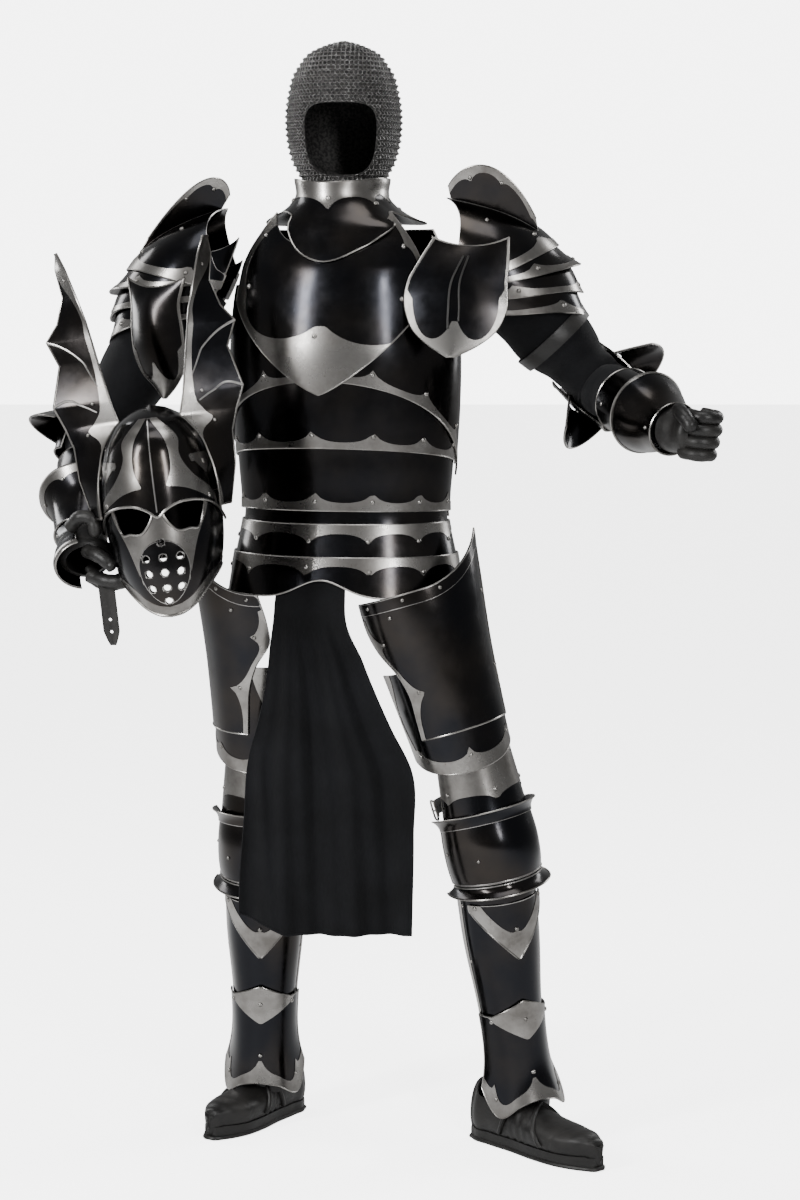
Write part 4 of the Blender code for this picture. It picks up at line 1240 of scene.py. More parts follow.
def sleeve_surface(arm):
    """A tube down the upper arm that turns at the elbow and runs on to the wrist.

    Its folds press inward: radius * (1 - depth * fold), where fold mixes two slanted waves.
    """
    start = arm.upper.start + 0.045 * arm.upper.axis
    elbow = arm.fore.start
    end = elbow + 0.97 * arm.fore_length * arm.fore.axis
    knots = [
        start,
        start + 0.5 * (elbow - start),
        elbow - 0.045 * arm.upper.axis,
        elbow,
        elbow + 0.045 * arm.fore.axis,
        elbow + 0.5 * (end - elbow),
        end,
    ]
    radii = [0.060, SLEEVE_FULL[arm.side], 0.049, 0.048, 0.046, 0.041, SLEEVE_END[arm.side]]
    path = np.array(knots)
    along = np.linspace(0, 1, len(knots))

    def surface(s, t):
        centre = smooth_path(t, along, path)
        ahead = smooth_path(np.minimum(t + 0.01, 1), along, path)
        tangent = unit_rows(ahead - smooth_path(np.maximum(t - 0.01, 0), along, path))
        bend = unit(np.cross(arm.upper.axis, arm.fore.axis))
        across = unit_rows(np.cross(tangent, bend))
        binormal = np.cross(across, tangent)
        angle = 2 * math.pi * s
        wave = np.sin(46 * t + 1.6 * np.sin(angle)) * 0.5 + 0.5
        slow = np.sin(19 * t - 2.0 * np.cos(angle) + 1.0) * 0.5 + 0.5
        inward = 1 - 0.075 * wave**2 * (0.3 + 0.7 * slow)
        radius = (smooth(t, along, np.array(radii)) * inward)[..., None]
        angle = angle[..., None]
        return centre + radius * (np.cos(angle) * across + np.sin(angle) * binormal)

    return surface


def cloth_plate(name, surface, closed=False, cell=0.0075):
    """A cloth wall with its threads counted in metres along the piece's own two directions."""
    made = Plate(name, surface, closed, cell)
    threads = {"warp": made.from_top.ravel(), "weft": made.from_start.ravel()}
    body = wall(f"{name}_wool", made.sheet, 0.0, CLOTH, BLACK_CLOTH, threads)
    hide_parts(name)
    return made, body


# The places of the two arms, in metres.
LEFT_ARM = Arm(
    "l",
    shoulder=(0.215, -0.030, 0.000),
    elbow=(0.430, -0.020, -0.225),
    wrist=(0.529, -0.240, -0.285),
    hand=(0.602, -0.330, -0.297),
    front=(-0.10, -1.0, 0.0),
)
RIGHT_ARM = Arm(
    "r",
    shoulder=(-0.212, 0.045, -0.020),
    elbow=(-0.410, 0.050, -0.306),
    wrist=(-0.415, -0.150, -0.462),
    hand=(-0.392, -0.240, -0.512),
    front=(-0.30, -1.0, 0.0),
)

for arm in (LEFT_ARM, RIGHT_ARM):
    dress_shoulder(arm)
    dress_elbow(arm)
    dress_forearm(arm)
    _, sleeve_cloth = cloth_plate(f"sleeve_{arm.side}", sleeve_surface(arm), closed=True)


# The besagews: shields hung in front of the armpits.
BESAGEWS = {
    # side: (place, facing, [(drop from the top, left edge, right edge, as seen in front)], bulge)
    "l": (
        (0.188, -0.1177, 0.016),
        (-0.10, -1.0, 0.335),
        [
            (0.000, -0.034, 0.088),
            (0.038, -0.056, 0.088),
            (0.075, -0.074, 0.086),
            (0.130, -0.074, 0.084),
            (0.162, -0.058, 0.066),
            (0.186, -0.030, 0.034),
            (0.200, -0.008, 0.006),
        ],
        0.014,
    ),
    "r": (
        (-0.2917, -0.0582, -0.048),
        (-0.55, -0.83, 0.05),
        [
            (0.000, -0.066, 0.052),
            (0.040, -0.058, 0.042),
            (0.085, -0.056, 0.050),
            (0.130, -0.046, 0.056),
            (0.160, -0.026, 0.050),
            (0.180, -0.002, 0.036),
            (0.196, 0.012, 0.020),
        ],
        0.024,
    ),
}
BESAGEW_LOBES = {
    # middle across, middle down, half width, half height
    "l": ((-0.034, 0.105, 0.036, 0.066), (0.034, 0.105, 0.036, 0.068), (0.0, 0.030, 0.092, 0.114)),
    "r": ((-0.022, 0.110, 0.022, 0.056), (0.022, 0.110, 0.024, 0.056), (0.0, 0.030, 0.080, 0.108)),
}


def dress_besagew(side):
    place, facing, rows, bulge = BESAGEWS[side]
    out = unit(facing)
    right = unit(np.cross(out, vector(0, 0, -1)))
    up = np.cross(out, right)
    table = np.array(rows)

    def surface(s, t):
        drop = t * table[-1, 0]
        left_edge = smooth(drop, table[:, 0], table[:, 1])
        right_edge = smooth(drop, table[:, 0], table[:, 2])
        across = left_edge + s * (right_edge - left_edge)
        dip = 0.016 * (1 - (2 * s - 1) ** 2) * (1 - t) ** 3
        ridge = bulge * (1 - np.abs(2 * s - 1) ** 1.6) * np.sin(math.pi * np.clip(0.12 + 0.85 * t, 0, 1))
        return vector(*place) + spread_out((across, right), (-(drop + dip), up), (ridge, out))

    besagew = plate(f"besagew_{side}", surface, cell=0.0037)
    down = besagew.t * table[-1, 0]
    inset = 0.004 - besagew.from_sides()
    besagew.border(np.maximum(outside_lobes(besagew.across(), down, BESAGEW_LOBES[side]), inset))
    besagew.bead("top", "start", "end", "bottom")
    return besagew


besagew_l = dress_besagew("l")
dress_besagew("r")


# The helmet.
HELMET = Limb(
    (-0.2959, -0.222, -0.251),
    (0.122, 0.0, -0.9925),
    (0, -1, 0),
    [
        (-0.003, 0.0006, 0.0006, 0.0006),
        (0.000, 0.014, 0.020, 0.018),
        (0.012, 0.040, 0.058, 0.052),
        (0.040, 0.068, 0.090, 0.084),
        (0.090, 0.087, 0.110, 0.104),
        (0.160, 0.093, 0.116, 0.110),
        (0.220, 0.090, 0.118, 0.104),
        (0.270, 0.078, 0.114, 0.092),
        (0.325, 0.054, 0.094, 0.070),
    ],
)
# How many metres a degree is worth on the helmet's front.
PER_DEGREE = 0.0018
SKULL_TOP = -0.003
SKULL_HIGH = 0.253
BROW_TOP = 0.016
BROW_RIM = 0.0022
FACE_SIDE = 89.5
FACE_TOP = 0.1405
FACE_DEPTH = 0.1645
# Outlines of the helmet's parts: a height for an angle from the front, or an angle for a height down.
BROW_LOW = through([-90, -50, -8, 0, 8, 50, 90], [0.190, 0.152, 0.158, 0.168, 0.158, 0.152, 0.190])
BROW_SIDE = through(
    [0.000, 0.016, 0.045, 0.075, 0.108, 0.141, 0.167, 0.200],
    [4, 16, 33, 30, 40, 63, 69, 80],
)
BROW_BAND = through([0, 10, 30, 50, 90], [0.120, 0.121, 0.128, 0.144, 0.178])
LEAF_SIDE = through([0.012, 0.044, 0.065, 0.083, 0.100, 0.122, 0.130], [1, 16, 19, 19, 17, 11, 9])
SLIT_LOW = through([0, 4, 14, 30, 42, 51, 90], [0.140, 0.160, 0.187, 0.191, 0.187, 0.150, 0.140])
FACE_RIM = through([0, 20, 42, 68, 90], [0.325, 0.322, 0.309, 0.276, 0.258])
BRIDGE_SIDE = through([0.150, 0.168, 0.205, 0.245, 0.270, 0.330], [56, 51, 38, 31, 28, 26])
CHIN_BAND = through([0, 30, 50, 75, 90], [0.015, 0.019, 0.026, 0.012, 0.010])
BREATH_MIDDLE = 0.255
BREATH_WIDE = 28.0
BREATH_HIGH = 0.051
VENT = 0.0056
VENT_ROWS = (0.231, 0.255, 0.279)
VENTS = [(0.0, 0.207), (0.0, 0.300)] + [(17.5 * i, down) for i in (-1, 0, 1) for down in VENT_ROWS]
SLIT_TOP = 0.150


def build_skull():
    def skull(s, t):
        return HELMET.point(360 * s, SKULL_TOP + SKULL_HIGH * t, 0.0)

    made = Plate("helmet_skull", skull, closed=True)
    degrees = np.abs(turned(360 * made.s))
    down = SKULL_TOP + SKULL_HIGH * made.t
    kept = np.maximum(0.145 - down, PER_DEGREE * (degrees - 88))
    body = wall("helmet_skull_plate", cut(made.sheet, kept), 0.0, PLATE, BLACK_STEEL)
    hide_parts("helmet_skull")
    tip = 0.090 + 0.020 * np.clip(1 - np.abs(degrees - 60) / 12, 0, 1)
    band = np.minimum(np.minimum(down - 0.078, tip - down), PER_DEGREE * (76 - degrees))
    made.border(np.minimum(band, PER_DEGREE * (degrees - 42)))
    made.studs([(60 / 360, 0.378), (300 / 360, 0.378)])


def build_brow():
    def brow_place(s, t):
        degrees = -90 + 180 * s
        return degrees, BROW_TOP + t * (BROW_LOW(degrees) - BROW_TOP)

    made = Plate("helmet_brow", lambda s, t: HELMET.point(*brow_place(s, t), layer(1.25)), cell=0.0040)
    degrees, down = brow_place(made.s, made.t)
    degrees = np.abs(degrees)
    inside = PER_DEGREE * (BROW_SIDE(down) - degrees)
    body = wall("helmet_brow_plate", cut(made.sheet, inside), 0.0, PLATE, BLACK_STEEL)
    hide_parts("helmet_brow")
    leaf = PER_DEGREE * (degrees - LEAF_SIDE(down))
    made.border(np.minimum(np.minimum(inside, leaf), BROW_BAND(degrees) - down))
    made.bead("bottom", radius=BROW_RIM)
    rim = BROW_RIM - np.abs(inside - BROW_RIM)
    made.border(np.minimum(rim, down - BROW_BAND(degrees)), 2)
    ridge = HELMET.point(0.0, np.linspace(0.020, 0.160, 30), layer(1.25))
    bars("helmet_brow_ridge", [tube(ridge, 0.0016, HELMET.side, 6)], BLACK_STEEL)
    made.studs([(0.19, 0.93), (0.81, 0.93)])


def face_place(s, t):
    """The angle and the height down of a point of the face plate, whose chin hangs lower."""
    degrees = -FACE_SIDE + 2 * FACE_SIDE * s
    down = FACE_TOP + FACE_DEPTH * t
    chin = 0.018 * np.clip((down - 0.20) / 0.105, 0, 1) * np.cos(np.radians(degrees)) ** 2
    return degrees, down + chin


def build_face():
    made = Plate("helmet_face", lambda s, t: HELMET.point(*face_place(s, t)), cell=0.0030)
    degrees, down = face_place(made.s, made.t)
    away = np.abs(degrees)
    rim = FACE_RIM(away) - down
    slit = np.minimum(SLIT_LOW(away) - down, down - SLIT_TOP)
    open_vent = np.full(down.shape, -1.0)
    ring = np.full(down.shape, -1.0)
    for across, low in VENTS:
        centre = HELMET.point(across, low, 0.0)
        gap = np.linalg.norm(made.points - centre, axis=-1)
        open_vent = np.maximum(open_vent, VENT - gap)
        ring = np.maximum(ring, VENT + 0.0018 - gap)
    kept = np.minimum(rim, -np.maximum(slit, open_vent))
    body = wall("helmet_face_plate", cut(made.sheet, kept), 0.0, PLATE, BLACK_STEEL)
    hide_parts("helmet_face")
    oval = np.sqrt((away / BREATH_WIDE) ** 2 + ((down - BREATH_MIDDLE) / BREATH_HIGH) ** 2) - 1
    oval = 0.050 * oval
    bridge = np.minimum(PER_DEGREE * (BRIDGE_SIDE(down) - away), np.minimum(oval, -slit))
    bridge = np.minimum(bridge, np.minimum(down - SLIT_TOP, 0.272 - down))
    chin = np.minimum(np.minimum(CHIN_BAND(away) - rim, rim), oval)
    made.border(np.minimum(np.maximum(bridge, chin), -open_vent))
    breath = np.minimum(-oval - 0.0008, -open_vent)
    wall("helmet_breath", cut(made.sheet, breath), 0.0018, 0.0021, BLACK_STEEL)
    rings = cut(made.sheet, np.minimum(ring, -open_vent))
    wall("helmet_breath_rings", rings, 0.0028, 0.0030, BLACK_STEEL)
    turn = np.linspace(-88, 88, 120)
    path = HELMET.point(turn, FACE_RIM(np.abs(turn)), 0.0006)
    bars("helmet_face_rolled", [tube(path, 0.0024, HELMET.axis, 8)], BRIGHT_STEEL)
    turn = np.linspace(5, 50, 50)
    for sign, word in ((-1, "r"), (1, "l")):
        path = HELMET.point(sign * turn, SLIT_LOW(turn), 0.0012)
        bars(f"helmet_slit_rolled_{word}", [tube(path, 0.0021, HELMET.axis, 8)], BRIGHT_STEEL)


build_skull()
build_brow()
build_face()


# A wing: height above the eyes, outer edge, inner edge, as distances from the helmet's middle line.
WING_ROWS = [
    (0.422, 0.121, 0.117),
    (0.395, 0.124, 0.106),
    (0.351, 0.117, 0.093),
    (0.310, 0.130, 0.082),
    (0.284, 0.150, 0.077),
    (0.245, 0.134, 0.070),
    (0.181, 0.151, 0.058),
    (0.145, 0.136, 0.048),
    (0.114, 0.126, 0.040),
    (0.062, 0.124, 0.040),
    (0.000, 0.110, 0.040),
]
# How far in front of the helmet's axis a wing stands, and how far off its tube.
WING_FORWARD = 0.045
WING_OFF = 0.0086
WING_BAND = through(
    [0.00, 0.15, 0.22, 0.40, 0.55, 0.64, 0.72, 0.78, 1.00],
    [0.03, 0.03, 0.012, 0.009, 0.012, 0.024, 0.044, 0.012, 0.008],
)
# Ribs run from a spike of the outer edge down to the inner band: part of the way in and down, at both ends.
WING_RIBS = (((0.0, 0.400), (0.86, 0.560)), ((0.0, 0.600), (0.70, 0.640)))
WING_RIVETS = ((0.55, 0.14), (0.69, 0.60), (0.45, 0.74))


def build_wing(side):
    sign = 1 if side == "l" else -1
    table = np.array(WING_ROWS)

    def surface(s, t):
        place = t * (len(table) - 1)
        knots = np.arange(len(table))
        up = np.interp(place, knots, table[:, 0])
        outer = np.interp(place, knots, table[:, 1])
        inner = np.interp(place, knots, table[:, 2])
        down = 0.165 - up
        inside = np.clip(down, 0.0, None)
        width = smooth(inside, HELMET.rows[:, 0], HELMET.rows[:, 1]) + WING_OFF
        depth = smooth(inside, HELMET.rows[:, 0], HELMET.rows[:, 2]) + WING_OFF
        helmet_edge = width * np.sqrt(np.clip(1 - (WING_FORWARD / depth) ** 2, 0, 1))
        inner = np.where(down > 0.0, np.maximum(inner, helmet_edge), inner)
        outer = np.maximum(outer, inner + 0.006)
        part = s if sign > 0 else 1 - s
        across = inner + part * (outer - inner)
        forward = WING_FORWARD - 0.030 * part - 0.060 * np.clip(up / 0.42, 0, 1) ** 2
        return HELMET.place(down, sign * across, forward)

    def spot(inward, down):
        return (1 - inward if sign > 0 else inward, down)

    made = plate(f"helmet_wing_{side}", surface, cell=0.0026)
    from_outer, from_inner = made.from_start, made.from_end
    if sign > 0:
        from_outer, from_inner = from_inner, from_outer
    made.border(np.maximum(0.0016 - from_outer, WING_BAND(made.t) - from_inner))
    ribs = []
    part = np.linspace(0, 1, 24)
    for (inward, down), (inner_end, lower_end) in WING_RIBS:
        sag = down + part * (lower_end - down) - 0.03 * np.sin(math.pi * part)
        path, normals = made.at(*spot(inward + part * (inner_end - inward), sag))
        ribs.append(tube(path + 0.0004 * normals, 0.0024 - 0.0012 * part, normals, 8))
    bars(f"helmet_wing_{side}_ribs", ribs, BLACK_STEEL)
    made.bead("start", "end", "bottom", radius=0.0018)
    made.studs([spot(*place) for place in WING_RIVETS], SMALL_STUD)


build_wing("l")
build_wing("r")


# The mail coif: a near-black wall of painted shade, with rings woven over it in slanted rows.
COIF = Limb(
    (0.008, 0.004, 0.332),
    (0, 0, -1),
    (-0.05, -1.0, 0.0),
    [
        (-0.003, 0.0006, 0.0006, 0.0006),
        (0.000, 0.014, 0.016, 0.016),
        (0.010, 0.042, 0.048, 0.046),
        (0.040, 0.074, 0.088, 0.080),
        (0.085, 0.090, 0.104, 0.098),
        (0.130, 0.094, 0.104, 0.104),
        (0.190, 0.084, 0.092, 0.094),
        (0.225, 0.068, 0.074, 0.072),
        (0.268, 0.076, 0.083, 0.080),
    ],
)
COIF_TOP = -0.003
COIF_HIGH = 0.271
FACE_MIDDLE = 0.1575
FACE_HIGH = 0.0575
FACE_WIDE = 40.0
RING_ROW = 0.0050
RING_PITCH = 0.0078
RING_RADIUS = 0.0040
WIRE = 0.00068
RING_TILT = 32.0


def outside_face(degrees, down):
    """Above 0 outside the coif's rounded face opening, in metres."""
    return outside_oval(np.abs(turned(degrees)) / FACE_WIDE, (down - FACE_MIDDLE) / FACE_HIGH) * FACE_HIGH


def tori(centres, ahead, up, radius, wire, around=8, sides=3):
    """A wire ring round each centre, in the plane of ahead and up."""
    a = np.linspace(0, 2 * math.pi, around, endpoint=False)
    b = np.linspace(0, 2 * math.pi, sides, endpoint=False) + math.pi / 4
    across = np.cross(ahead, up)
    spoke = np.cos(a)[None, :, None] * ahead[:, None] + np.sin(a)[None, :, None] * up[:, None]
    reach = radius + wire * np.cos(b)
    points = (
        centres[:, None, None]
        + reach[None, None, :, None] * spoke[:, :, None]
        + wire * np.sin(b)[None, None, :, None] * across[:, None, None]
    )
    n, i, j = np.meshgrid(np.arange(len(centres)), np.arange(around), np.arange(sides), indexing="ij")
    here = n * around * sides + i * sides
    after = n * around * sides + (i + 1) % around * sides
    beside = (j + 1) % sides
    faces = np.stack([here + j, after + j, after + beside, here + beside], axis=-1)
    return points.reshape(-1, 3), faces.reshape(-1, 4).tolist()


def build_coif():
    def wall_surface(s, t):
        return COIF.point(360 * s, COIF_TOP + COIF_HIGH * t, -0.0016)

    made = Plate("coif", wall_surface, closed=True)
    sheet = cut(made.sheet, outside_face(360 * made.s, COIF_TOP + COIF_HIGH * made.t))
    # A near-black sheet of painted shade under the rings.
    body = wall("coif_painted_shade", sheet, 0.0, 0.0012, MAIL_PAINTED_SHADE)
    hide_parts("coif")
    fine = np.linspace(COIF_TOP, COIF_TOP + COIF_HIGH, 400)
    profile = COIF.point(45.0, fine, 0.0)
    arc = np.concatenate([[0], np.cumsum(np.linalg.norm(np.diff(profile, axis=0), axis=1))])
    rows = np.arange(0.004, arc[-1] - 0.002, RING_ROW)
    groups = [[], [], []]
    for number, reach in enumerate(rows):
        down = np.interp(reach, arc, fine)
        loop = COIF.point(np.linspace(0, 360, 60), down, 0.0)
        count = max(6, int(np.linalg.norm(np.diff(loop, axis=0), axis=1).sum() / RING_PITCH))
        degrees = (np.arange(count) + 0.5 * (number % 2)) * 360 / count
        degrees = degrees[outside_face(degrees, down) > 0.002]
        centres = COIF.point(degrees, down, 0.0004)
        ahead = unit_rows(COIF.point(degrees + 0.5, down) - COIF.point(degrees - 0.5, down))
        above = COIF.point(degrees, down - 0.0012) - COIF.point(degrees, down + 0.0012)
        above = unit_rows(above - (above * ahead).sum(axis=1)[:, None] * ahead)
        normals = np.cross(ahead, above)
        tilt = math.radians(RING_TILT if number % 2 else -RING_TILT)
        up = math.cos(tilt) * above + math.sin(tilt) * normals
        groups[number * 3 // len(rows)].append((centres, ahead, up))
    for number, group in enumerate(groups):
        centres, ahead, up = (np.concatenate(parts) for parts in zip(*group))
        points, faces = tori(centres, ahead, up, RING_RADIUS, WIRE)
        make(f"coif_rings_{number}", points, faces, MAIL_STEEL, sharp=180.0)


build_coif()


SHOE_START = -0.012
SHOE_SPAN = 1.024
SOLE_TURN = 122.0
SEAMS = ((0.44, 14.0), (0.50, -16.0))


def dress_shoe(leg):
    shoe_upper(leg)
    shoe_sole(leg)
    shoe_collar(leg)


def shoe_upper(leg):
    """Soft leather, creased where the foot bends, with a seam behind the toes and a round mouth."""

    def shoe(s, t):
        place = SHOE_START + SHOE_SPAN * t
        angle = 2 * math.pi * s
        crease = np.sin(95 * place + 1.8 * np.cos(angle)) * np.clip(1 - np.abs(place - 0.45) / 0.17, 0, 1)
        seam = np.clip(1 - np.abs(place - 0.74 - 0.05 * np.cos(angle)) / 0.012, 0, 1)
        point = leg.foot.point(360 * s, leg.foot_length * place, -0.0011 * (crease + 1) - 0.0012 * seam)
        point[..., 2] = np.maximum(point[..., 2], SOLE)
        return point

    made = Plate(f"shoe_{leg.side}", shoe, closed=True, cell=0.0048)
    place = SHOE_START + SHOE_SPAN * made.t
    mouth = outside_oval(turned(360 * made.s) / 62.0, (place - 0.225) / 0.175)
    body = wall(f"{made.name}_upper", cut(made.sheet, mouth * 0.04), 0.0, LEATHER, BLACK_LEATHER)
    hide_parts(made.name)


def shoe_sole(leg):
    """The sole's side wall down to the floor, its welt, and two seams over the instep."""
    length = leg.foot_length

    def sole_side(s, t):
        turn = np.where(s < 0.5, SOLE_TURN, -SOLE_TURN)
        point = leg.foot.point(turn, length * (1 - np.abs(1 - 2 * s)), -0.0004)
        point[..., 2] = point[..., 2] * (1 - t) + SOLE * t
        return point

    sole = Plate(f"shoe_{leg.side}_sole", sole_side, closed=True)
    wall(sole.name, sole.sheet, 0.0, 0.0015, BLACK_LEATHER)
    forth = np.linspace(0.0, length, 50)
    reach = np.concatenate([forth, forth[::-1]])
    path = leg.foot.point(np.repeat((SOLE_TURN, -SOLE_TURN), 50), reach, 0.0010)
    path[:, 2] = FLOOR + 0.0042
    parts = [tube(np.concatenate([path, path[:1]]), 0.0038, (0, 0, 1), 8)]
    turn = np.linspace(-112, 112, 40)
    for middle, lean in SEAMS:
        across = leg.foot.point(turn, (middle + 0.00009 * lean * turn) * length, 0.0006)
        parts.append(tube(across, 0.0042, leg.foot.axis, 8))
    bars(f"shoe_{leg.side}_welt", parts, BLACK_LEATHER)


def shoe_collar(leg):
    """Soft leather in folds round the ankle, inside the instep."""

    def collar(s, t):
        angle = 2 * math.pi * s
        fold = np.sin(9 * t + 1.4 * np.sin(angle + 1.0)) + 0.5 * np.sin(3 * angle + 5 * t)
        return leg.shin.point(360 * s, (0.935 + 0.13 * t) * leg.shin_length, -0.0085 + 0.0016 * fold)

    made = Plate(f"shoe_{leg.side}_collar", collar, closed=True)
    wall(made.name, made.sheet, 0.0, LEATHER, BLACK_LEATHER)


for leg in (LEFT_LEG, RIGHT_LEG):
    dress_shoe(leg)


# The cloth that hangs from the waist between the legs. Rows: height, left edge, right edge, forward place.
PANEL_ROWS = [
    (-0.575, -0.112, 0.008, -0.128),
    (-0.675, -0.114, 0.040, -0.122),
    (-0.780, -0.130, 0.084, -0.118),
    (-0.850, -0.148, 0.118, -0.118),
    (-0.960, -0.156, 0.122, -0.120),
    (-1.080, -0.164, 0.121, -0.122),
    (-1.125, -0.165, 0.120, -0.122),
]
PANEL_TOP = -0.475
PANEL_LONG = 0.650


def panel(s, t):
    """Cloth that starts inside the fauld and falls in soft folds that open towards the hem."""
    heights, *columns = np.array(PANEL_ROWS)[::-1].T
    z = PANEL_TOP - PANEL_LONG * t
    tucked = TORSO.point(-25.0 + 37.0 * s, -z, -0.001)
    left, right, forward = (smooth(z, heights, column) for column in columns)
    x = left + s * (right - left)
    fan = s + 0.06 * (1 - t) * np.sin(3.0 * s)
    folds = 0.010 * np.sin(2 * math.pi * (2.5 * s + 0.15)) * np.clip(2 * t, 0, 1)
    small = 0.0035 * np.sin(2 * math.pi * 7.3 * fan + 1.5 * np.sin(4 * t)) * np.clip(1.6 * t, 0, 1)
    main = -0.0060 * np.exp(-(((x + 0.205 + 0.085 * z) / 0.010) ** 2)) * np.clip(1.4 * t, 0, 1)
    hem = 0.035 * np.clip((0.28 - s) / 0.28, 0, 1) * t
    fallen = np.stack([x, forward + folds + small + main + 0.05 * (x + 0.03) ** 2, z + hem], axis=-1)
    blend = np.clip((-0.572 - z) / 0.10, 0, 1)[..., None]
    blend = blend * blend * (3 - 2 * blend)
    return tucked + blend * (fallen - tucked)


cloth, cloth_body = cloth_plate("waist_cloth", panel, cell=0.005)
hem_path = cloth.points[:, -1] + vector(0, 0, 0.0015)
bars("waist_cloth_hem", [tube(hem_path, 0.0019, cloth.normals[:, -1], 6)], BLACK_CLOTH)


def pierced(made, centres, radius):
    """Above 0 outside a round hole at each of these points of a sheet."""
    field = np.full(made.s.shape, 1.0)
    for centre in centres:
        field = np.minimum(field, np.linalg.norm(made.points - centre, axis=-1) - radius)
    return field


def strap(s, t):
    """The leather end that hangs below the helmet's rim and closes to a blunt point."""
    width = 0.026 * np.clip((1.04 - t) / 0.25, 0, 1) ** 0.6
    x = -0.368 + 0.012 * t + (s - 0.5) * width
    sway = 0.0012 * np.sin(5.0 * t) - 0.0008 * np.cos(2 * math.pi * s)
    return np.stack([x, -0.234 + sway, -0.522 - 0.108 * t], axis=-1)


def build_strap():
    made = Plate("helmet_strap", strap, cell=0.0016)
    holes = pierced(made, [strap(np.array(0.5), np.array(down)) for down in (0.08, 0.62, 0.80)], 0.0024)
    body = wall("helmet_strap_leather", cut(made.sheet, holes), 0.0, LEATHER, BLACK_LEATHER)
    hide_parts("helmet_strap")


build_strap()


# The gloves: a hollow hand with fingers of stitched leather.
def finger(path, radius):
    """A leather tube along a path of a few points, with a rounded tip and creases where it bends."""
    path = np.array(path, float)
    knots = np.linspace(0, 1, len(path))
    t = np.linspace(0, 1, 34)
    line = smooth_path(t, knots, path)
    round_end = np.sqrt(np.clip(1 - np.clip((t - 0.86) / 0.14, 0, 1) ** 2, 0.02, 1))
    crease = 1 - 0.07 * np.abs(np.sin(11 * t)) ** 6
    bend = unit(np.cross(path[1] - path[0], path[-1] - path[0]) + vector(0, 0, 1e-4))
    return tube(line, radius * round_end * crease, bend, 14)


def hand_shell(arm, reach, name):
    """The glove's hollow body from the wrist to reach, a part of the hand's length, with soft creases."""
    length = arm.hand_length

    def surface(s, t):
        angle = 2 * math.pi * s
        crease = np.sin(14 * t + 2.0 * np.sin(angle)) * 0.0007 + np.sin(3 * angle + 6 * t) * 0.0005
        squeeze = 0.012 * np.clip((t - 0.8) / 0.2, 0, 1) ** 2
        return arm.palm.point(360 * s, reach * length * t, crease - 0.0008 - squeeze)

    made = Plate(name, surface, closed=True, cell=0.004)
    body = wall(f"{name}_hand", made.sheet, 0.0, LEATHER, BLACK_LEATHER)
    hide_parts(name)
    return made


FIST_CURL = (-38, 10, 62, 112, 158, 205, 240)


def square_to(axis, direction):
    """The direction's part that is square to the axis, at length 1."""
    return unit(direction - axis * (direction @ axis))


def build_left_glove():
    """A closed fist: four curled fingers side by side, and the thumb over them."""
    arm = LEFT_ARM
    hand_shell(arm, 0.60, "glove_l")
    ahead = arm.palm.axis
    grip = square_to(ahead, vector(-0.11, 0.0, -1.0))
    inward = square_to(ahead, vector(-0.77, -0.63, 0.0))
    middle = arm.palm.start + 0.066 * ahead + 0.004 * inward
    parts = []
    for row in range(4):
        across = (row - 1.5) * 0.0195 * grip
        size = 0.0235 - 0.0012 * abs(row - 1)
        curl = np.radians(FIST_CURL)[:, None]
        path = middle + across - 0.92 * size * np.cos(curl) * inward + 1.12 * size * np.sin(curl) * ahead
        parts.append(finger(path, 0.0112 - 0.0005 * (row == 3)))
    thumb = [
        arm.palm.start + 0.026 * ahead - 0.026 * grip + 0.012 * inward,
        middle - 0.022 * ahead - 0.036 * grip + 0.030 * inward,
        middle + 0.004 * ahead - 0.026 * grip + 0.038 * inward,
        middle + 0.022 * ahead - 0.010 * grip + 0.034 * inward,
    ]
    parts.append(finger(thumb, 0.0120))
    bars("glove_l_fingers", parts, BLACK_LEATHER)


# The thumb over the helmet's wing and four fingers under its rim, each along four points.
HOLDING_FINGERS = (
    ((-0.424, -0.215, -0.443), (-0.407, -0.232, -0.426), (-0.387, -0.238, -0.430), (-0.380, -0.240, -0.458)),
    ((-0.398, -0.225, -0.480), (-0.378, -0.245, -0.486), (-0.360, -0.252, -0.497), (-0.350, -0.254, -0.506)),
    ((-0.392, -0.215, -0.520), (-0.368, -0.232, -0.527), (-0.345, -0.240, -0.528), (-0.328, -0.238, -0.522)),
    ((-0.396, -0.200, -0.522), (-0.375, -0.212, -0.532), (-0.352, -0.216, -0.533), (-0.332, -0.214, -0.526)),
    ((-0.400, -0.180, -0.512), (-0.380, -0.190, -0.528), (-0.358, -0.192, -0.532), (-0.338, -0.190, -0.526)),
)


def build_right_glove():
    arm = RIGHT_ARM
    hand_shell(arm, 0.70, "glove_r")
    bars("glove_r_fingers", [finger(path, 0.0115) for path in HOLDING_FINGERS], BLACK_LEATHER)
    length = arm.hand_length

    def back_plate(s, t):
        degrees = -172 + 150 * s
        start = -0.04 + 0.10 * (1 - np.sin(math.pi * s))
        return arm.palm.point(degrees, (start + (0.80 - start) * t) * length, 0.0034 + 0.0040 * t**2)

    made = Plate("glove_r_plate", back_plate, cell=0.003)
    wall(made.name, made.sheet, 0.0, PLATE, BLACK_STEEL)
    made.border(0.0095 - made.from_bottom)
    made.bead("top", "bottom", "start", "end", radius=0.0012)
    made.studs([(0.62, 0.18), (0.88, 0.22), (0.18, 0.22)], radius=0.0028, lift=0.0)


build_left_glove()
build_right_glove()


# Small fittings: a strap round the left upper arm, the left besagew's thong, a strap behind the left thigh.
def band(name, surface, holes=()):
    """A flat leather strap over surface(s, t), with a hole at each of these places."""
    made = Plate(name, surface, cell=0.0030)
    field = pierced(made, [surface(np.array(place), np.array(0.5)) for place in holes], 0.0022)
    return wall(name, cut(made.sheet, field), 0.0, LEATHER, BLACK_LEATHER)


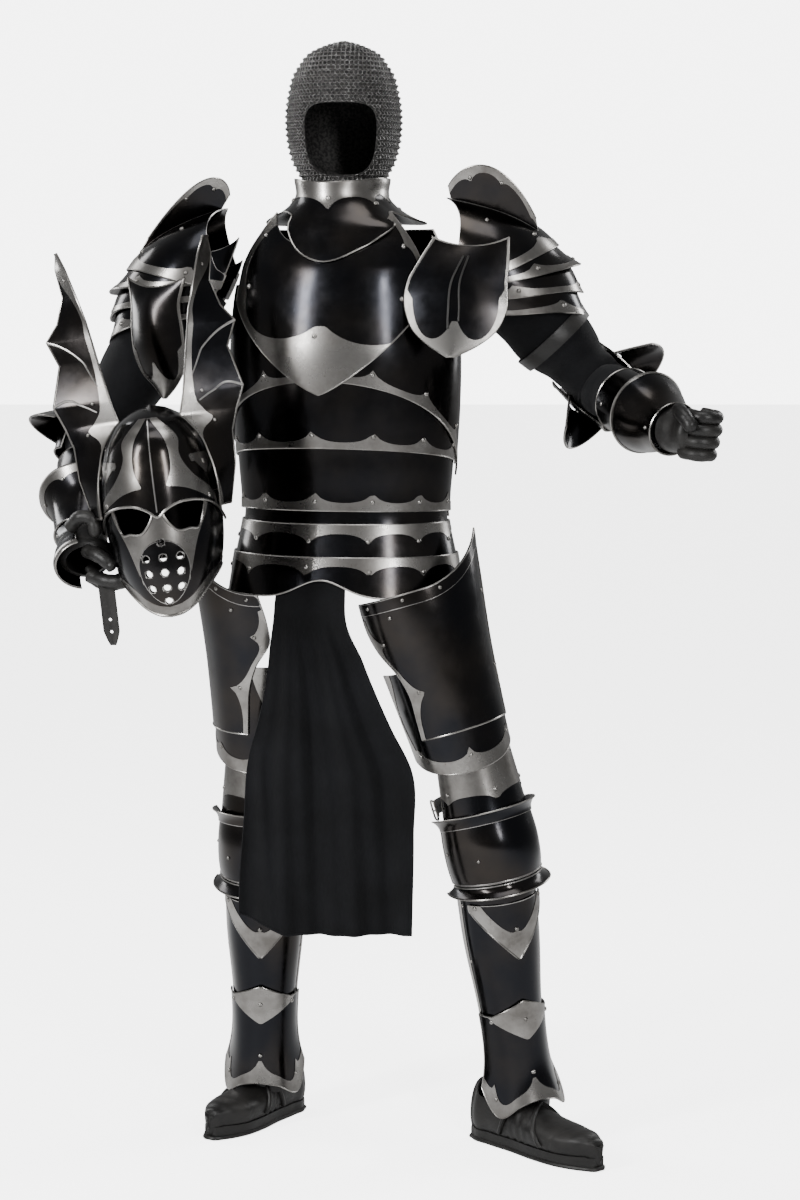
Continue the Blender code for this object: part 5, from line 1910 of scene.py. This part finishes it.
def build_arm_strap():
    sleeve = sleeve_surface(LEFT_ARM)
    line = sleeve(np.linspace(0, 1, 60), np.full(60, 0.205)).mean(axis=0)

    def arm_strap(s, t):
        on = sleeve(s, 0.185 + 0.040 * t)
        out = on - line
        out -= (out @ LEFT_ARM.upper.axis)[..., None] * LEFT_ARM.upper.axis
        return on + 0.0060 * unit_rows(out)

    band("arm_strap", arm_strap, (0.10, 0.16, 0.22, 0.80, 0.86))


def build_thong():
    """Two ends of a leather thong that lie down the middle of the left besagew."""
    turn = np.linspace(0, 1, 30)
    parts = []
    for s, lean, long, radius in ((0.47, -0.05, 0.66, 0.0020), (0.53, 0.01, 0.60, 0.0018)):
        points, normals = besagew_l.at(s + lean * turn, 0.12 + long * turn)
        parts.append(tube(points + 0.0012 * normals, radius, normals, 8))
    bars("besagew_l_thong", parts, BLACK_LEATHER)


def build_thigh_strap():
    """A strap behind the thigh with a buckle: a rounded frame, cos and sin to the power 0.5, and its pin."""
    thigh = LEFT_LEG.thigh
    band("thigh_strap", lambda s, t: thigh.point(82 + 196 * s, 0.345 + 0.024 * t, 0.0042), (0.80, 0.84))
    centre = thigh.point(276.0, 0.357, 0.0070)
    out = unit(centre - (thigh.start + 0.357 * thigh.axis))
    across = np.cross(thigh.axis, out)
    angle = np.linspace(0, 2 * math.pi, 33)
    along, aside = (np.sign(wave) * np.abs(wave) ** 0.5 for wave in (np.cos(angle), np.sin(angle)))
    frame_line = centre + spread_out((0.0165 * along, thigh.axis), (0.0120 * aside, across))
    pin = centre + np.linspace(-0.012, 0.013, 8)[:, None] * across + 0.001 * out
    bars("thigh_buckle", [tube(frame_line, 0.0018, out, 8), tube(pin, 0.0014, out, 8)], BRIGHT_STEEL)


build_arm_strap()
build_thong()
build_thigh_strap()


bars("rivets", STUDS, BRIGHT_STEEL, sharp=80.0)


# The studio: a pale floor, soft lights on both sides and above, and the camera at the photograph's height.
FLOOR_REACH = 30.0
# How bright the floor and the air look to the camera, and how much the air lights the suit.
FLOOR_GLOW = 4.0
AIR_SEEN = 6.0
AIR_LIGHT = 0.32
# The camera of the photograph: its place, how far it looks down in degrees, and its lens on a 36 mm frame.
CAMERA_PLACE = (0.10, -5.0, -0.05)
CAMERA_DOWN = 6.08
CAMERA_LENS = 90.5
CAMERA_FRAME = 36.0


def floor_finish():
    """A pale matt floor that looks nearly white to the camera and still takes soft shadows."""
    finish = Finish("studio_floor", (0.86, 0.86, 0.86), 0.0, 0.8, **{"Emission Color": (1, 1, 1, 1)})
    seen = finish.add("LightPath", {}).outputs["Is Camera Ray"]
    tint = finish.tint(finish.noise(1.5, 2.0), 0.3, 0.7, (0.88, 0.88, 0.88, 1), (0.92, 0.92, 0.92, 1))
    finish.dress({"Base Color": tint, "Emission Strength": finish.spread(seen, 0.0, 1.0, 0.0, FLOOR_GLOW)})
    return finish.material


def build_floor():
    corners = [(FLOOR_REACH * x, FLOOR_REACH * y, FLOOR) for x, y in ((-1, -1), (1, -1), (1, 1), (-1, 1))]
    mesh = bpy.data.meshes.new("studio_floor")
    mesh.from_pydata(corners, [], [(0, 1, 2, 3)])
    mesh.materials.append(floor_finish())
    floor = bpy.data.objects.new("studio_floor", mesh)
    bpy.context.scene.collection.objects.link(floor)


LIGHTS = {
    # light: (place, aimed at, width, height, watts)
    "key": ((-2.6, -2.6, 1.0), (0.0, 0.0, -0.2), 0.45, 2.2, 190.0),
    "fill": ((1.5, -3.8, 1.0), (0.0, 0.0, -0.2), 0.40, 2.0, 120.0),
    "top": ((0.0, -0.8, 3.2), (0.0, 0.0, -0.4), 2.2, 1.6, 70.0),
    "rim_left": ((-2.6, 1.8, 0.8), (0.0, 0.0, -0.3), 0.8, 2.2, 60.0),
    "rim_right": ((2.6, 1.8, 0.8), (0.0, 0.0, -0.3), 0.8, 2.2, 60.0),
}


def build_lights():
    for name, (place, target, width, height, watts) in LIGHTS.items():
        lamp = bpy.data.lights.new(name, "AREA")
        lamp.shape = "RECTANGLE"
        lamp.size = width
        lamp.size_y = height
        lamp.energy = watts
        light = bpy.data.objects.new(name, lamp)
        light.location = place
        aim = Vector(target) - Vector(place)
        light.rotation_euler = aim.to_track_quat("-Z", "Y").to_euler()
        bpy.context.scene.collection.objects.link(light)


def build_world():
    """White all round: bright where the camera looks past the suit, softer where it lights the suit."""
    world = bpy.data.worlds.new("studio")
    world.use_nodes = True
    tree = world.node_tree
    background = tree.nodes["Background"]
    background.inputs["Color"].default_value = (1.0, 1.0, 1.0, 1.0)
    seen = tree.nodes.new("ShaderNodeMapRange")
    seen.inputs["To Min"].default_value = AIR_LIGHT
    seen.inputs["To Max"].default_value = AIR_SEEN
    path = tree.nodes.new("ShaderNodeLightPath")
    tree.links.new(path.outputs["Is Camera Ray"], seen.inputs["Value"])
    tree.links.new(seen.outputs["Result"], background.inputs["Strength"])
    bpy.context.scene.world = world


def build_camera():
    lens = bpy.data.cameras.new("camera")
    lens.lens = CAMERA_LENS
    lens.sensor_width = CAMERA_FRAME
    camera = bpy.data.objects.new("camera", lens)
    camera.location = CAMERA_PLACE
    camera.rotation_euler = (math.radians(90.0 - CAMERA_DOWN), 0.0, 0.0)
    bpy.context.scene.collection.objects.link(camera)
    bpy.context.scene.camera = camera


build_floor()
build_lights()
build_world()
build_camera()
